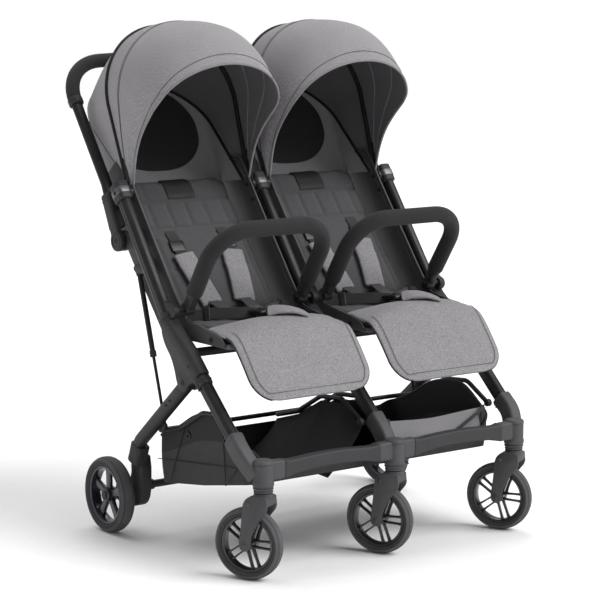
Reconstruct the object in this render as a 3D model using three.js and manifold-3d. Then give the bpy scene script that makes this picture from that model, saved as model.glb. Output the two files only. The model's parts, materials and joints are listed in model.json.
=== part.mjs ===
// Side-by-side twin stroller: three swivelling casters, a folding rear frame, two reclining seats.
// Millimetres. X runs across the stroller, -Y is the way it travels, +Z is up.
// The origin is at floor level under the middle of the stroller's bounding box.
import * as THREE from 'three';
import { mergeVertices } from 'three/addons/utils/BufferGeometryUtils.js';
import Module from 'manifold-3d';

const wasm = await Module();
wasm.setup();

// ---------------------------------------------------------------- driving dimensions
const SEAT_PITCH = 345;          // between neighbouring side frames
const CASTER_INSET = 23;         // the outer casters stand this far inside their side frames
const WHEEL_OUTSET = 23;         // and the rear wheels this far outside
const GAP = 0.3;                 // between pieces that touch
const RUN = 0.3;                 // radial clearance of a turning fit
const ROUND = 32;                // facets round a wheel
const TUBE = { width: 24, height: 30 };
const CASTING = { width: 30, height: 38 };

// Side profile of one frame, as [y, z].
const CLAMP = [64, 716];         // canopy pivots
const KNEE = [-119, 464];        // seat tube meets the leg casting
const HIP = [-183, 416];         // middle of the leg casting
const LEG_FOOT = [-375, 239];    // front leg enters the caster housing
const FOLD_PIVOT = [-183, 358];  // rear leg's hinge
const KNUCKLE = [69, 617];       // handle's hinge
const BUMPER_PIVOT = [-133, 497];
const RECLINE_PIVOT = [-70, 455];
const FOOTREST_PIVOT = [-298, 446];

const CASTER = { y: -407, turn: THREE.MathUtils.degToRad(27.2), trail: 31, top: 239, bottom: 176, radius: 20 };
const STEM = { radius: 8, top: 222 };
const FORK = { arm: 6, gap: 34, headTop: 170, headBottom: 148, headLength: 46 };
const FRONT_WHEEL = { radius: 71.5, width: 29, rim: 56, bore: 4.3, spoke: 4.5 };
const REAR_WHEEL = { radius: 80, width: 33, rim: 62, bore: 6.3, y: 89 };
const BRACKET = { inner: 27, outer: 2 };   // inside the side frame's plane
const AXLE_BAR = { behind: 23, above: 23, radius: 8 };   // from the wheel's front and its hub
const CROSSBAR = { width: 24, height: 34, rise: 8, z: 217, ear: 30 };
const SEAT_CROSSBAR = { at: [-165, 413], radius: 9 };

const HANDLE = {
  sleeve: [[82, 641], [122, 730]],
  top: [251, 905],
  corner: [303, 975],
  middle: [313, 988],
  bend: 100,
  tube: { width: 18, height: 24 },
  sleeveWall: 4,
  grip: 15,
  disc: 22,
};
const LINK = { inset: 17.5, top: [28, 563], foot: [-70, 241], sleeve: 5.5, rod: 3.4, sleeveLength: 185 };

const CANOPY = { gap: 32, crown: 345, straight: 190, wall: 3, hub: 14, nest: 5 };
const CANOPY_FRONT = [-30, 18];  // degrees back from upright
const CANOPY_REAR = [22, 50];
const BOW = { angle: 20, gap: 0.5, radius: 5, foot: 32 };

const SEAT = { gap: 50, wing: 3, padGap: 5, bottom: 434, top: 460, front: -285, back: -84 };
const BACKREST = { foot: [-80, 462], head: [148, 740], thickness: 22 };
const FOOTREST = { reach: 137, thickness: 15, drop: 38, corner: 45 };
const BUMPER = { gap: 66, rise: 196, lean: 34, foam: 17, plug: 11, boss: 11, plugLength: 38, bend: 60, pin: 4.5 };
const BASKET = { inset: 35, wall: 3 };
const RAIL = { inset: 29, inner: 22, radius: 5 };
const PEDAL = { ahead: 23, above: 30, width: 42, gap: 4, reach: 48, pin: 4 };

// Places across the stroller that follow from those.
const CASTER_PITCH = SEAT_PITCH - CASTER_INSET;
const WHEEL_X = SEAT_PITCH + WHEEL_OUTSET;
const CANOPY_HALF = (SEAT_PITCH - CANOPY.gap) / 2;
const SEAT_HALF = (SEAT_PITCH - SEAT.gap) / 2;
const BUMPER_HALF = (SEAT_PITCH - BUMPER.gap) / 2;
const BOW_STANDOFF = BOW.gap + BOW.radius;
const BASKET_HALF = SEAT_PITCH - BASKET.inset;
const BRACKET_INNER = SEAT_PITCH - BRACKET.inner;
const BRACKET_OUTER = SEAT_PITCH - BRACKET.outer;

// ---------------------------------------------------------------- finishes
const finish = (color, roughness, metalness = 0) => new THREE.MeshStandardMaterial({ color, roughness, metalness });
const FINISH = {
  frame: finish(0x343436, 0.45, 0.2),
  casting: finish(0x5a5a5c, 0.6),
  plastic: finish(0x2a2a2c, 0.55),
  foam: finish(0x38383a, 0.9),
  rim: finish(0x202022, 0.4),
  tyre: finish(0x4b4b4d, 0.85),
  steel: finish(0x8e9094, 0.35, 0.9),
  melange: finish(0x969396, 0.95),
  lining: finish(0x504e50, 0.95),
  mesh: finish(0x2c2c2e, 0.95),
};

// ---------------------------------------------------------------- solids
/** The [y, z] point at a given x. */
const at = (x, [y, z]) => new THREE.Vector3(x, y, z);

/** A geometry's closed body as a manifold solid, with its faces pointing out. */
function solid(geometry) {
  const bare = geometry.clone();
  bare.deleteAttribute('normal');
  bare.deleteAttribute('uv');
  const merged = mergeVertices(bare, 1e-4);
  const points = merged.attributes.position.array;
  const faces = merged.index.array;
  const kept = [];
  let volume = 0;
  const [a, b, c] = [new THREE.Vector3(), new THREE.Vector3(), new THREE.Vector3()];
  for (let i = 0; i < faces.length; i += 3) {
    const [p, q, r] = [faces[i], faces[i + 1], faces[i + 2]];
    if (p === q || q === r || r === p) continue;
    kept.push(p, q, r);
    volume += a.fromArray(points, 3 * p).dot(b.fromArray(points, 3 * q).cross(c.fromArray(points, 3 * r)));
  }
  if (volume < 0) kept.reverse();
  return new wasm.Manifold(new wasm.Mesh({
    numProp: 3,
    vertProperties: Float32Array.from(points),
    triVerts: Uint32Array.from(kept),
  }));
}

/** A manifold solid as a geometry. */
function geometryOf(body) {
  const mesh = body.getMesh();
  const geometry = new THREE.BufferGeometry();
  geometry.setAttribute('position', new THREE.BufferAttribute(Float32Array.from(mesh.vertProperties), 3));
  geometry.setIndex(Array.from(mesh.triVerts));
  return geometry;
}

const join = (...bodies) => bodies.reduce((sum, body) => sum.add(body));
const cut = (body, ...tools) => tools.reduce((rest, tool) => rest.subtract(tool), body);

// ---------------------------------------------------------------- sections and paths
/** A polygon of `sides` points round an ellipse. */
function oval(width, height = width, sides = 10) {
  const points = [];
  for (let i = 0; i < sides; i += 1) {
    const t = (2 * Math.PI * (i + 0.5)) / sides;
    points.push(new THREE.Vector2((Math.cos(t) * width) / 2, (Math.sin(t) * height) / 2));
  }
  return new THREE.Shape(points);
}

/** A rectangle with its corners cut at 45 degrees. */
function block(width, height, chamfer) {
  const [w, h, c] = [width / 2, height / 2, chamfer];
  const corners = [[w, h - c], [w - c, h], [c - w, h], [-w, h - c], [-w, c - h], [c - w, -h], [w - c, -h], [w, c - h]];
  return new THREE.Shape(corners.map(([x, y]) => new THREE.Vector2(x, y)));
}

/** A path through given points, whose section keeps its first axis along `side`. */
class GuidedPath extends THREE.Curve {
  constructor(points, side) {
    super();
    this.points = points;
    this.side = side.clone().normalize();
  }

  getPoint(t) {
    const last = this.points.length - 1;
    const place = Math.min(Math.max(t, 0), 1) * last;
    const i = Math.min(Math.floor(place), last - 1);
    return this.points[i].clone().lerp(this.points[i + 1], place - i);
  }

  getPointAt(u) {
    return this.getPoint(u);
  }

  computeFrenetFrames(steps) {
    const frames = { tangents: [], normals: [], binormals: [] };
    for (let i = 0; i <= steps; i += 1) {
      const here = this.points[i];
      const tangent = new THREE.Vector3();
      if (i > 0) tangent.add(here.clone().sub(this.points[i - 1]).normalize());
      if (i < steps) tangent.add(this.points[i + 1].clone().sub(here).normalize());
      tangent.normalize();
      const normal = this.side.clone().addScaledVector(tangent, -this.side.dot(tangent)).normalize();
      frames.tangents.push(tangent);
      frames.normals.push(normal);
      frames.binormals.push(tangent.clone().cross(normal));
    }
    return frames;
  }
}

/** The points of a polyline with each corner rounded to an arc. */
function rounded(points, radius, steps = 5) {
  const path = [points[0]];
  for (let i = 1; i < points.length - 1; i += 1) {
    const back = points[i - 1].clone().sub(points[i]).normalize();
    const on = points[i + 1].clone().sub(points[i]).normalize();
    const angle = back.angleTo(on);
    const start = points[i].clone().addScaledVector(back, radius / Math.tan(angle / 2));
    const middle = back.clone().add(on).normalize();
    const centre = points[i].clone().addScaledVector(middle, radius / Math.sin(angle / 2));
    const spoke = start.clone().sub(centre);
    for (let k = 0; k <= steps; k += 1) {
      const t = ((Math.PI - angle) * k) / steps;
      const point = centre.clone().addScaledVector(spoke, Math.cos(t));
      path.push(point.addScaledVector(back, -radius * Math.sin(t)));
    }
  }
  path.push(points[points.length - 1]);
  return path;
}

const ACROSS = new THREE.Vector3(1, 0, 0);

/** A section carried along a path. */
function sweep(section, points, side = ACROSS) {
  const path = new GuidedPath(points, side);
  return solid(new THREE.ExtrudeGeometry(section, { steps: points.length - 1, extrudePath: path, bevelEnabled: false }));
}

/** An outline of [y, z] points, from one x to another. */
function slab(outline, low, high, holes = []) {
  const shape = new THREE.Shape(outline.map(([y, z]) => new THREE.Vector2(y, z)));
  shape.holes = holes;
  const geometry = new THREE.ExtrudeGeometry(shape, { depth: high - low, bevelEnabled: false });
  const turn = new THREE.Matrix4().makeBasis(new THREE.Vector3(0, 1, 0), new THREE.Vector3(0, 0, 1), ACROSS);
  return solid(geometry.applyMatrix4(turn.setPosition(low, 0, 0)));
}

/** A round bar along X. */
function bar(radius, low, high, centre, sides = 16) {
  const geometry = new THREE.CylinderGeometry(radius, radius, high - low, sides);
  return solid(geometry.rotateZ(Math.PI / 2).translate((low + high) / 2, centre[0], centre[1]));
}

/** A round bar along Z. */
function post(radius, low, high, x, y, sides = 16) {
  const geometry = new THREE.CylinderGeometry(radius, radius, high - low, sides);
  return solid(geometry.rotateX(Math.PI / 2).translate(x, y, (low + high) / 2));
}

function box(low, high) {
  const size = high.map((value, i) => value - low[i]);
  const centre = high.map((value, i) => (value + low[i]) / 2);
  return solid(new THREE.BoxGeometry(...size).translate(...centre));
}

/** A profile of [radius, place along the axis] points turned round the X axis. */
function turned(profile, segments = 36) {
  const points = profile.map(([radius, along]) => new THREE.Vector2(radius, along));
  return solid(new THREE.LatheGeometry(points, segments).rotateZ(-Math.PI / 2));
}

/** The same, round the Z axis. */
function spun(profile, segments = 20) {
  const points = profile.map(([radius, along]) => new THREE.Vector2(radius, along));
  return solid(new THREE.LatheGeometry(points, segments).rotateX(Math.PI / 2));
}

/** The point a distance along the line from one [y, z] point to another. */
function along(from, to, distance) {
  const [dy, dz] = [to[0] - from[0], to[1] - from[1]];
  const length = Math.hypot(dy, dz);
  return [from[0] + (dy * distance) / length, from[1] + (dz * distance) / length];
}

const distance = (a, b) => Math.hypot(a[0] - b[0], a[1] - b[1]);

// ---------------------------------------------------------------- the group
const stroller = new THREE.Group();

/** Adds a piece as a named mesh, turned about Z and placed at a point. */
function add(name, body, material, place = [0, 0, 0], turn = 0) {
  const mesh = new THREE.Mesh(geometryOf(body), material);
  mesh.name = name;
  mesh.position.set(...place);
  mesh.rotation.z = turn;
  stroller.add(mesh);
}

const FRAMES = [['left', -1], ['middle', 0], ['right', 1]];
const SIDES = [['left', -1], ['right', 1]];

// ---------------------------------------------------------------- front frame
const legSection = oval(TUBE.width, TUBE.height);
const legHole = oval(TUBE.width + 2 * GAP, TUBE.height + 2 * GAP);
const castingSection = block(CASTING.width, CASTING.height, 7);
const legTop = along(HIP, LEG_FOOT, 26);
const seatTubeFoot = along(KNEE, CLAMP, -8);
const seatTubeHead = along(KNEE, CLAMP, distance(KNEE, CLAMP) + 16);

/** The front leg's tube, in the plane of its frame. */
function frontLeg(x, grow = 0) {
  return sweep(grow ? legHole : legSection, [at(x, legTop), at(x, along(HIP, LEG_FOOT, distance(HIP, LEG_FOOT) + grow))]);
}

/** The casting that joins the seat tube, the front leg and, at the sides, the rear leg. */
function legCasting(x, side) {
  const upper = [at(x, along(KNEE, CLAMP, 24)), at(x, KNEE), at(x, HIP)];
  const spine = sweep(castingSection, [...upper, at(x, along(HIP, LEG_FOOT, 62))]);
  const ear = slab([[-104, 478], [-84, 506], [-126, 509], [-142, 503], [-145, 492], [-138, 484]], x - 7, x + 7);
  const reach = BUMPER.gap / 2 + BUMPER.boss + GAP;
  const pinEnds = side ? [x, x - side * reach].sort((a, b) => a - b) : [-reach, reach];
  const pin = bar(BUMPER.pin, ...pinEnds, BUMPER_PIVOT);
  let body = join(spine, ear, pin);
  if (side) {
    const [y, z] = FOLD_PIVOT;
    const cheek = [[y + 42, z + 66], [y + 22, z + 2], [y + 13, z - 12], [y, z - 17], [y - 13, z - 12], [y - 17, z], [y - 22, z + 44]];
    for (const [low, high] of [[-15, -11.5], [11.5, 15]]) body = body.add(slab(cheek, x + low, x + high));
    body = body.add(bar(4, x - 12, x + 12, FOLD_PIVOT));
    body = cut(body, bar(16, x - 11.5, x + 11.5, FOLD_PIVOT, 20)).add(bar(4, x - 12, x + 12, FOLD_PIVOT));
  } else {
    const end = SEAT_PITCH - CASTING.width / 2 - GAP;
    body = body.add(bar(SEAT_CROSSBAR.radius, -end, end, SEAT_CROSSBAR.at));
  }
  const tubeSocket = sweep(legHole, [at(x, along(KNEE, CLAMP, -8 - GAP)), at(x, along(KNEE, CLAMP, 80))]);
  const legSocket = sweep(legHole, [at(x, along(HIP, LEG_FOOT, 26 - GAP)), at(x, along(HIP, LEG_FOOT, 90))]);
  return cut(body, tubeSocket, legSocket);
}

/** The seat tube. At the sides it carries the handle's knuckle and the fold link's lug. */
function seatTube(x, side) {
  let body = sweep(legSection, [at(x, seatTubeFoot), at(x, seatTubeHead)]);
  if (!side) return body;
  const near = along(KNEE, CLAMP, 0.63 * distance(KNEE, CLAMP));
  const inner = [x - side * 12, x - side * 1].sort((a, b) => a - b);
  const arm = [[near[0], near[1] + 14], [near[0] + 6, near[1] - 14], [KNUCKLE[0], KNUCKLE[1] - 20], [KNUCKLE[0], KNUCKLE[1] + 20]];
  body = join(body, slab(arm, ...inner), bar(HANDLE.disc, ...inner, KNUCKLE, 20));
  const pin = [x - side * 2, x + side * 13].sort((a, b) => a - b);
  body = body.add(bar(5, ...pin, KNUCKLE));
  const lug = [x - side * 12, x - side * 8].sort((a, b) => a - b);
  const [y, z] = LINK.top;
  const plate = [[-34, 590], [-46, 556], [y - 2, z - 9], [y + 9, z], [y - 2, z + 9]];
  return body.add(slab(plate, ...lug));
}

/** The block at the seat tube's head, with the pins the canopies turn on. */
function canopyClamp(x, side) {
  const from = along(KNEE, CLAMP, distance(KNEE, CLAMP) - 20);
  const to = along(KNEE, CLAMP, distance(KNEE, CLAMP) + 22);
  let body = sweep(castingSection, [at(x, from), at(x, to)]);
  const reach = CASTING.width / 2 + 8;
  const ends = side ? [x, x - side * reach].sort((a, b) => a - b) : [-reach, reach];
  body = body.add(bar(8, ...ends, CLAMP));
  return cut(body, sweep(legHole, [at(x, along(KNEE, CLAMP, 200)), at(x, along(KNEE, seatTubeHead, distance(KNEE, seatTubeHead) + GAP))]));
}

/** The swivel housing, with the leg's socket and the ears that the crossbars meet. */
function casterHousing(x, frameX, ears) {
  const { y, top, bottom, radius } = CASTER;
  const shell = [[0, bottom], [radius + 1.5, bottom], [radius + 1.5, bottom + 17], [radius, bottom + 18],
    [radius, top - 4], [radius - 4, top], [0, top + 2]];
  let body = spun(shell).translate([x, y, 0]);
  const down = distance(HIP, LEG_FOOT);
  const sleeve = [at(frameX, along(HIP, LEG_FOOT, down - 48)), at(frameX, along(HIP, LEG_FOOT, down + 8))];
  body = body.add(sweep(castingSection, [...sleeve, new THREE.Vector3(x, y + 6, top - 36)]));
  for (const side of ears) {
    const outer = x + side * (radius + CROSSBAR.ear);
    const ear = block(CROSSBAR.width + 2, CROSSBAR.height + 4, 5);
    const path = [new THREE.Vector3(x, y, CROSSBAR.z), new THREE.Vector3(outer, y, CROSSBAR.z)];
    body = body.add(sweep(ear, path, new THREE.Vector3(0, 1, 0)));
  }
  return cut(body, frontLeg(frameX, GAP), post(STEM.radius + RUN, bottom - 1, STEM.top + GAP, x, y));
}

for (const [name, side] of FRAMES) {
  const x = side * SEAT_PITCH;
  add(`front_leg_${name}`, frontLeg(x), FINISH.frame);
  add(`leg_casting_${name}`, legCasting(x, side), FINISH.plastic);
  add(`seat_tube_${name}`, seatTube(x, side), FINISH.frame);
  add(`canopy_clamp_${name}`, canopyClamp(x, side), FINISH.plastic);
  add(`caster_housing_${name}`, casterHousing(side * CASTER_PITCH, x, side ? [-side] : [-1, 1]), FINISH.casting);
}

for (const [name, side] of SIDES) {
  const clear = CASTER.radius + CROSSBAR.ear + GAP;
  const ends = [side * clear, side * (CASTER_PITCH - clear)];
  const path = [];
  for (const t of [0, 0.06, 0.2, 0.35, 0.5, 0.65, 0.8, 0.94, 1]) {
    const rise = CROSSBAR.rise * Math.max(0, 4 * t * (1 - t) - 0.2256);
    path.push(new THREE.Vector3(ends[0] + (ends[1] - ends[0]) * t, CASTER.y, CROSSBAR.z + rise));
  }
  add(`front_crossbar_${name}`, sweep(block(CROSSBAR.width, CROSSBAR.height, 5), path, new THREE.Vector3(0, 1, 0)), FINISH.casting);
}

// ---------------------------------------------------------------- casters
/** The fork, in its own frame: swivel axis on Z, trailing towards +Y. */
function casterFork() {
  const { trail } = CASTER;
  const hub = [trail, FRONT_WHEEL.radius];
  const inner = FORK.gap / 2;
  const outer = inner + FORK.arm;
  const half = FORK.headLength / 2;
  const head = box([-outer, -half + 4, FORK.headBottom], [outer, half + 4, FORK.headTop]);
  const arm = [[-half + 4, FORK.headTop], [half + 4, FORK.headTop], [half + 10, FORK.headBottom - 8], [trail + 12, hub[1] + 2],
    [trail + 7, hub[1] - 10], [trail - 7, hub[1] - 10], [trail - 12, hub[1] + 2], [-half + 4, FORK.headBottom - 10]];
  return join(head, slab(arm, -outer, -inner), slab(arm, inner, outer), bar(FRONT_WHEEL.bore - RUN, -outer, outer, hub),
    post(STEM.radius, FORK.headTop - 4, STEM.top, 0, 0));
}

/** A tyre: a ring with a rounded tread, whose lowest facet lies flat on the floor. */
function tyre({ radius, width, rim }) {
  const w = width / 2;
  const seat = rim + GAP;
  const profile = [[seat, -w + 4], [radius - 8, -w], [radius, -w / 2.4], [radius, w / 2.4], [radius - 8, w], [seat, w - 4],
    [seat, -w + 4]];
  return turned(profile.map(([r, x]) => [r / Math.cos(Math.PI / ROUND), x]), ROUND).rotate([180 / ROUND, 0, 0]);
}

/** A rim ring with its hub. */
function ringAndHub({ rim, width, bore }, hubRadius, hubHalf, ringWall) {
  const w = width / 2 - 4.5;
  const ring = turned([[rim - ringWall, -w + 2], [rim, -w], [rim, w], [rim - ringWall, w - 2], [rim - ringWall, -w + 2]], ROUND);
  const hub = turned([[bore, -hubHalf], [hubRadius, -hubHalf], [hubRadius, hubHalf], [bore, hubHalf], [bore, -hubHalf]], 16);
  return { ring, hub };
}

/** The front rim: five pairs of thin spokes. */
function frontRim() {
  const hubHalf = FORK.gap / 2 - 1;
  const { ring, hub } = ringAndHub(FRONT_WHEEL, 12, hubHalf, 5);
  let body = ring.add(hub);
  for (let i = 0; i < 10; i += 1) {
    const aside = i % 2 ? 6.5 : -6.5;
    const low = [-4, aside - FRONT_WHEEL.spoke / 2, 7];
    const spoke = box(low, [4, aside + FRONT_WHEEL.spoke / 2, FRONT_WHEEL.rim - 2]);
    body = body.add(spoke.rotate([Math.floor(i / 2) * 72 + 18, 0, 0]));
  }
  return cut(body, bar(FRONT_WHEEL.bore, -hubHalf - 1, hubHalf + 1, [0, 0], 16));
}

/** The rear rim: five broad tapering spokes. */
function rearRim() {
  const hubHalf = 13;
  const { ring, hub } = ringAndHub(REAR_WHEEL, 15, hubHalf, 6);
  let body = ring.add(hub);
  for (let i = 0; i < 5; i += 1) {
    const spoke = slab([[-8, 8], [8, 8], [13, REAR_WHEEL.rim - 3], [-13, REAR_WHEEL.rim - 3]], -5, 5);
    body = body.add(spoke.rotate([i * 72, 0, 0]));
  }
  return cut(body, bar(REAR_WHEEL.bore, -hubHalf - 1, hubHalf + 1, [0, 0], 16));
}

for (const [name, side] of FRAMES) {
  const axis = [side * CASTER_PITCH, CASTER.y, 0];
  const hub = [axis[0] - CASTER.trail * Math.sin(CASTER.turn), CASTER.y + CASTER.trail * Math.cos(CASTER.turn), FRONT_WHEEL.radius];
  add(`caster_fork_${name}`, casterFork(), FINISH.casting, axis, CASTER.turn);
  add(`front_rim_${name}`, frontRim(), FINISH.rim, hub, CASTER.turn);
  add(`front_tyre_${name}`, tyre(FRONT_WHEEL), FINISH.tyre, hub, CASTER.turn);
}

// ---------------------------------------------------------------- rear frame
const rearHub = [REAR_WHEEL.y, REAR_WHEEL.radius];
const wheelFront = REAR_WHEEL.y - REAR_WHEEL.radius;

/** A [y, z] point measured back from the rear wheel's front edge and up from its hub. */
const nearWheel = (back, up) => [wheelFront + back, rearHub[1] + up];
const LEG_BEND = nearWheel(-6, 125);
const legLow = nearWheel(5, 96);
const axleBarAt = nearWheel(AXLE_BAR.behind, AXLE_BAR.above);
const pedalAt = [rearHub[0] - PEDAL.ahead, rearHub[1] + PEDAL.above];

/** The rear leg, from its eye at the fold pivot to the bracket. */
function rearLeg(x, side) {
  const path = rounded([at(x, along(FOLD_PIVOT, LEG_BEND, 4)), at(x, LEG_BEND), at(x, legLow)], 22);
  let body = join(sweep(oval(22, 28), path), bar(14, x - 11, x + 11, FOLD_PIVOT, 20));
  const [y, z] = LINK.foot;
  const lug = [x - side * 11, x - side * 7].sort((a, b) => a - b);
  body = body.add(slab([[y - 16, z + 22], [y - 7, z - 2], [y, z - 6], [y + 7, z - 2], [y + 16, z + 6]], ...lug));
  return cut(body, bar(4 + RUN, x - 14, x + 14, FOLD_PIVOT, 20));
}

/** The rear axle: a wheel bracket at each end of one cross bar, and the wheels' stubs. */
function rearAxle() {
  let body = bar(AXLE_BAR.radius, -BRACKET_INNER - 5, BRACKET_INNER + 5, axleBarAt);
  for (const [, side] of SIDES) {
    const x = side * SEAT_PITCH;
    const reach = [side * BRACKET_INNER, side * BRACKET_OUTER].sort((a, b) => a - b);
    const [y, z] = rearHub;
    const arm = [nearWheel(-5, 92), nearWheel(29, 88), nearWheel(37, 44), [y - 11, z + 26], [y + 15, z + 18], [y + 19, z - 14],
      [y + 9, z - 20], nearWheel(31, -20), nearWheel(3, -10), nearWheel(-7, 12)];
    const socket = sweep(block(32, 38, 7), [at(x - side * 3, along(LEG_BEND, legLow, 8)), at(x - side * 3, nearWheel(11, 80))]);
    const stub = [side * (BRACKET_OUTER - 2), side * (WHEEL_X + 15)].sort((a, b) => a - b);
    body = join(body, slab(arm, ...reach), socket, bar(REAR_WHEEL.bore - RUN, ...stub, rearHub, 16));
    const room = sweep(oval(22 + 2 * GAP, 28 + 2 * GAP), rounded([at(x, along(FOLD_PIVOT, LEG_BEND, 150)), at(x, LEG_BEND),
      at(x, along(LEG_BEND, legLow, distance(LEG_BEND, legLow) + GAP))], 22));
    body = cut(body, room);
  }
  const pin = [BRACKET_INNER - PEDAL.width - 3 * PEDAL.gap, BRACKET_INNER + 2];
  return body.add(bar(PEDAL.pin, ...pin, pedalAt));
}

for (const [name, side] of SIDES) {
  add(`rear_leg_${name}`, rearLeg(side * SEAT_PITCH, side), FINISH.frame);
  const hub = [side * WHEEL_X, ...rearHub];
  add(`rear_rim_${name}`, rearRim(), FINISH.rim, hub);
  add(`rear_tyre_${name}`, tyre(REAR_WHEEL), FINISH.tyre, hub);
}
add('rear_axle', rearAxle(), FINISH.plastic);

{
  const [y, z] = pedalAt;
  const low = BRACKET_INNER - PEDAL.width - PEDAL.gap;
  const high = BRACKET_INNER - PEDAL.gap;
  const tread = slab([[y, z + 2], [y, z + 8], [y + PEDAL.reach, z + 16], [y + PEDAL.reach, z + 11]], low, high);
  const boss = bar(8, low, high, pedalAt);
  add('brake_pedal', cut(join(tread, boss), bar(PEDAL.pin + RUN, low - 1, high + 1, pedalAt)), FINISH.plastic);
}

// ---------------------------------------------------------------- fold links
const linkLength = distance(LINK.top, LINK.foot);
for (const [name, side] of SIDES) {
  const x = side * (SEAT_PITCH - LINK.inset);
  const tube = oval(2 * LINK.sleeve, 2 * LINK.sleeve, 10);
  tube.holes = [new THREE.Path(oval(2 * (LINK.rod + GAP), 2 * (LINK.rod + GAP), 10).getPoints())];
  const sleeve = sweep(tube, [at(x, along(LINK.top, LINK.foot, 12)), at(x, along(LINK.top, LINK.foot, LINK.sleeveLength))]);
  const eye = sweep(oval(2 * LINK.sleeve, 2 * LINK.sleeve, 10), [at(x, along(LINK.top, LINK.foot, -5)), at(x, along(LINK.top, LINK.foot, 14))]);
  add(`fold_link_sleeve_${name}`, join(sleeve, eye), FINISH.frame);
  const rod = sweep(oval(2 * LINK.rod, 2 * LINK.rod, 10), [at(x, along(LINK.top, LINK.foot, LINK.sleeveLength - 150)), at(x, LINK.foot)]);
  add(`fold_link_rod_${name}`, rod, FINISH.steel);
}

// ---------------------------------------------------------------- handle
const HANDLE_SIDE = new THREE.Vector3(0, HANDLE.corner[1] - HANDLE.sleeve[1][1], HANDLE.sleeve[1][0] - HANDLE.corner[0]);

/** The handle's hoop from one sleeve to the other, or only the stretch under the grip. */
function handleLine(gripOnly) {
  const hoop = [];
  for (const side of [-1, 1]) {
    const leg = [at(side * SEAT_PITCH, HANDLE.sleeve[1]), at(side * SEAT_PITCH, HANDLE.corner), at(0, HANDLE.middle)];
    const half = rounded(leg, HANDLE.bend, 6);
    if (gripOnly) half[0] = at(side * SEAT_PITCH, along(HANDLE.sleeve[1], HANDLE.corner, distance(HANDLE.sleeve[1], HANDLE.top) - 20));
    else half.unshift(at(side * SEAT_PITCH, along(HANDLE.sleeve[0], HANDLE.sleeve[1], 14)));
    hoop.push(side < 0 ? half : half.reverse().slice(1));
  }
  return hoop.flat();
}

const { tube: handleTube } = HANDLE;
add('handle_bar', sweep(oval(handleTube.width, handleTube.height), handleLine(false), HANDLE_SIDE), FINISH.frame);
{
  const foam = oval(2 * HANDLE.grip, 2 * HANDLE.grip);
  foam.holes = [new THREE.Path(oval(handleTube.width + 2 * GAP, handleTube.height + 2 * GAP).getPoints())];
  add('handle_grip', sweep(foam, handleLine(true), HANDLE_SIDE), FINISH.foam);
}

for (const [name, side] of SIDES) {
  const x = side * SEAT_PITCH;
  const outer = [x + side * (1 - GAP), x + side * 12].map((v, i) => (i ? v : x + side * GAP)).sort((a, b) => a - b);
  const disc = bar(HANDLE.disc, ...outer, KNUCKLE, 20);
  const neck = sweep(block(28, 34, 6), [at(x, along(KNUCKLE, HANDLE.sleeve[1], HANDLE.disc + 4)), at(x, along(KNUCKLE, HANDLE.sleeve[1], 104))]);
  const web = sweep(block(11.7, 30, 4), [at(x + side * 6.15, KNUCKLE), at(x + side * 6.15, along(KNUCKLE, HANDLE.sleeve[1], 40))]);
  const hole = oval(handleTube.width + 2 * GAP, handleTube.height + 2 * GAP);
  const room = sweep(hole, [at(x, along(HANDLE.sleeve[0], HANDLE.sleeve[1], 14 - GAP)), at(x, HANDLE.sleeve[1]),
    at(x, along(HANDLE.sleeve[1], HANDLE.corner, 40))], HANDLE_SIDE);
  const body = cut(join(disc, web, neck), room, bar(5 + RUN, x - 16, x + 16, KNUCKLE, 20));
  add(`handle_sleeve_${name}`, body, FINISH.plastic);
}

// ---------------------------------------------------------------- canopies
const SEATS = [['left', -SEAT_PITCH / 2], ['right', SEAT_PITCH / 2]];

/** Half the canopy's arch as [distance from the pivot line, x], from the hub to the crown. */
function arch(half, crown, hub, steps = 6) {
  const points = [[hub, half]];
  for (let i = 0; i <= steps; i += 1) {
    const t = (Math.PI / 2) * (i / steps);
    points.push([CANOPY.straight + (crown - CANOPY.straight) * Math.sin(t), half * Math.cos(t)]);
  }
  return points;
}

/** A wedge round the pivot line, between two angles back from upright. */
function wedge(from, to) {
  const reach = 2 * CANOPY.crown;
  const outline = [[0, 0]];
  for (let i = 0; i <= 4; i += 1) {
    const angle = THREE.MathUtils.degToRad(from + ((to - from) * i) / 4);
    outline.push([reach * Math.sin(angle), reach * Math.cos(angle)]);
  }
  return slab(outline, -CANOPY_HALF - 9, CANOPY_HALF + 9);
}

/** A canopy panel: the arch turned about the pivot line and kept between two angles. */
function canopyPanel(half, crown, [from, to], x) {
  const outside = arch(half, crown, CANOPY.hub);
  const inside = arch(half - CANOPY.wall, crown - CANOPY.wall, CANOPY.hub);
  const mirror = (points) => points.slice(0, -1).reverse().map(([r, a]) => [r, -a]);
  const loop = [...outside, ...mirror(outside), ...mirror(inside).reverse(), ...[...inside].reverse()];
  return turned([...loop, outside[0]], 45).intersect(wedge(from, to)).translate([x, ...CLAMP]);
}

/** The bow that stands over the two panels, where they meet. */
function canopyBow(x) {
  const angle = THREE.MathUtils.degToRad(BOW.angle);
  const radial = new THREE.Vector3(0, Math.sin(angle), Math.cos(angle));
  const half = arch(CANOPY_HALF + BOW_STANDOFF, CANOPY.crown + BOW_STANDOFF, BOW.foot);
  const line = [...half, ...half.slice(0, -1).reverse().map(([r, a]) => [r, -a])];
  const points = line.map(([r, a]) => new THREE.Vector3(x + a, ...CLAMP).addScaledVector(radial, r));
  return sweep(oval(2 * BOW.radius, 2 * BOW.radius, 8), points, new THREE.Vector3(0, Math.cos(angle), -Math.sin(angle)));
}

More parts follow.
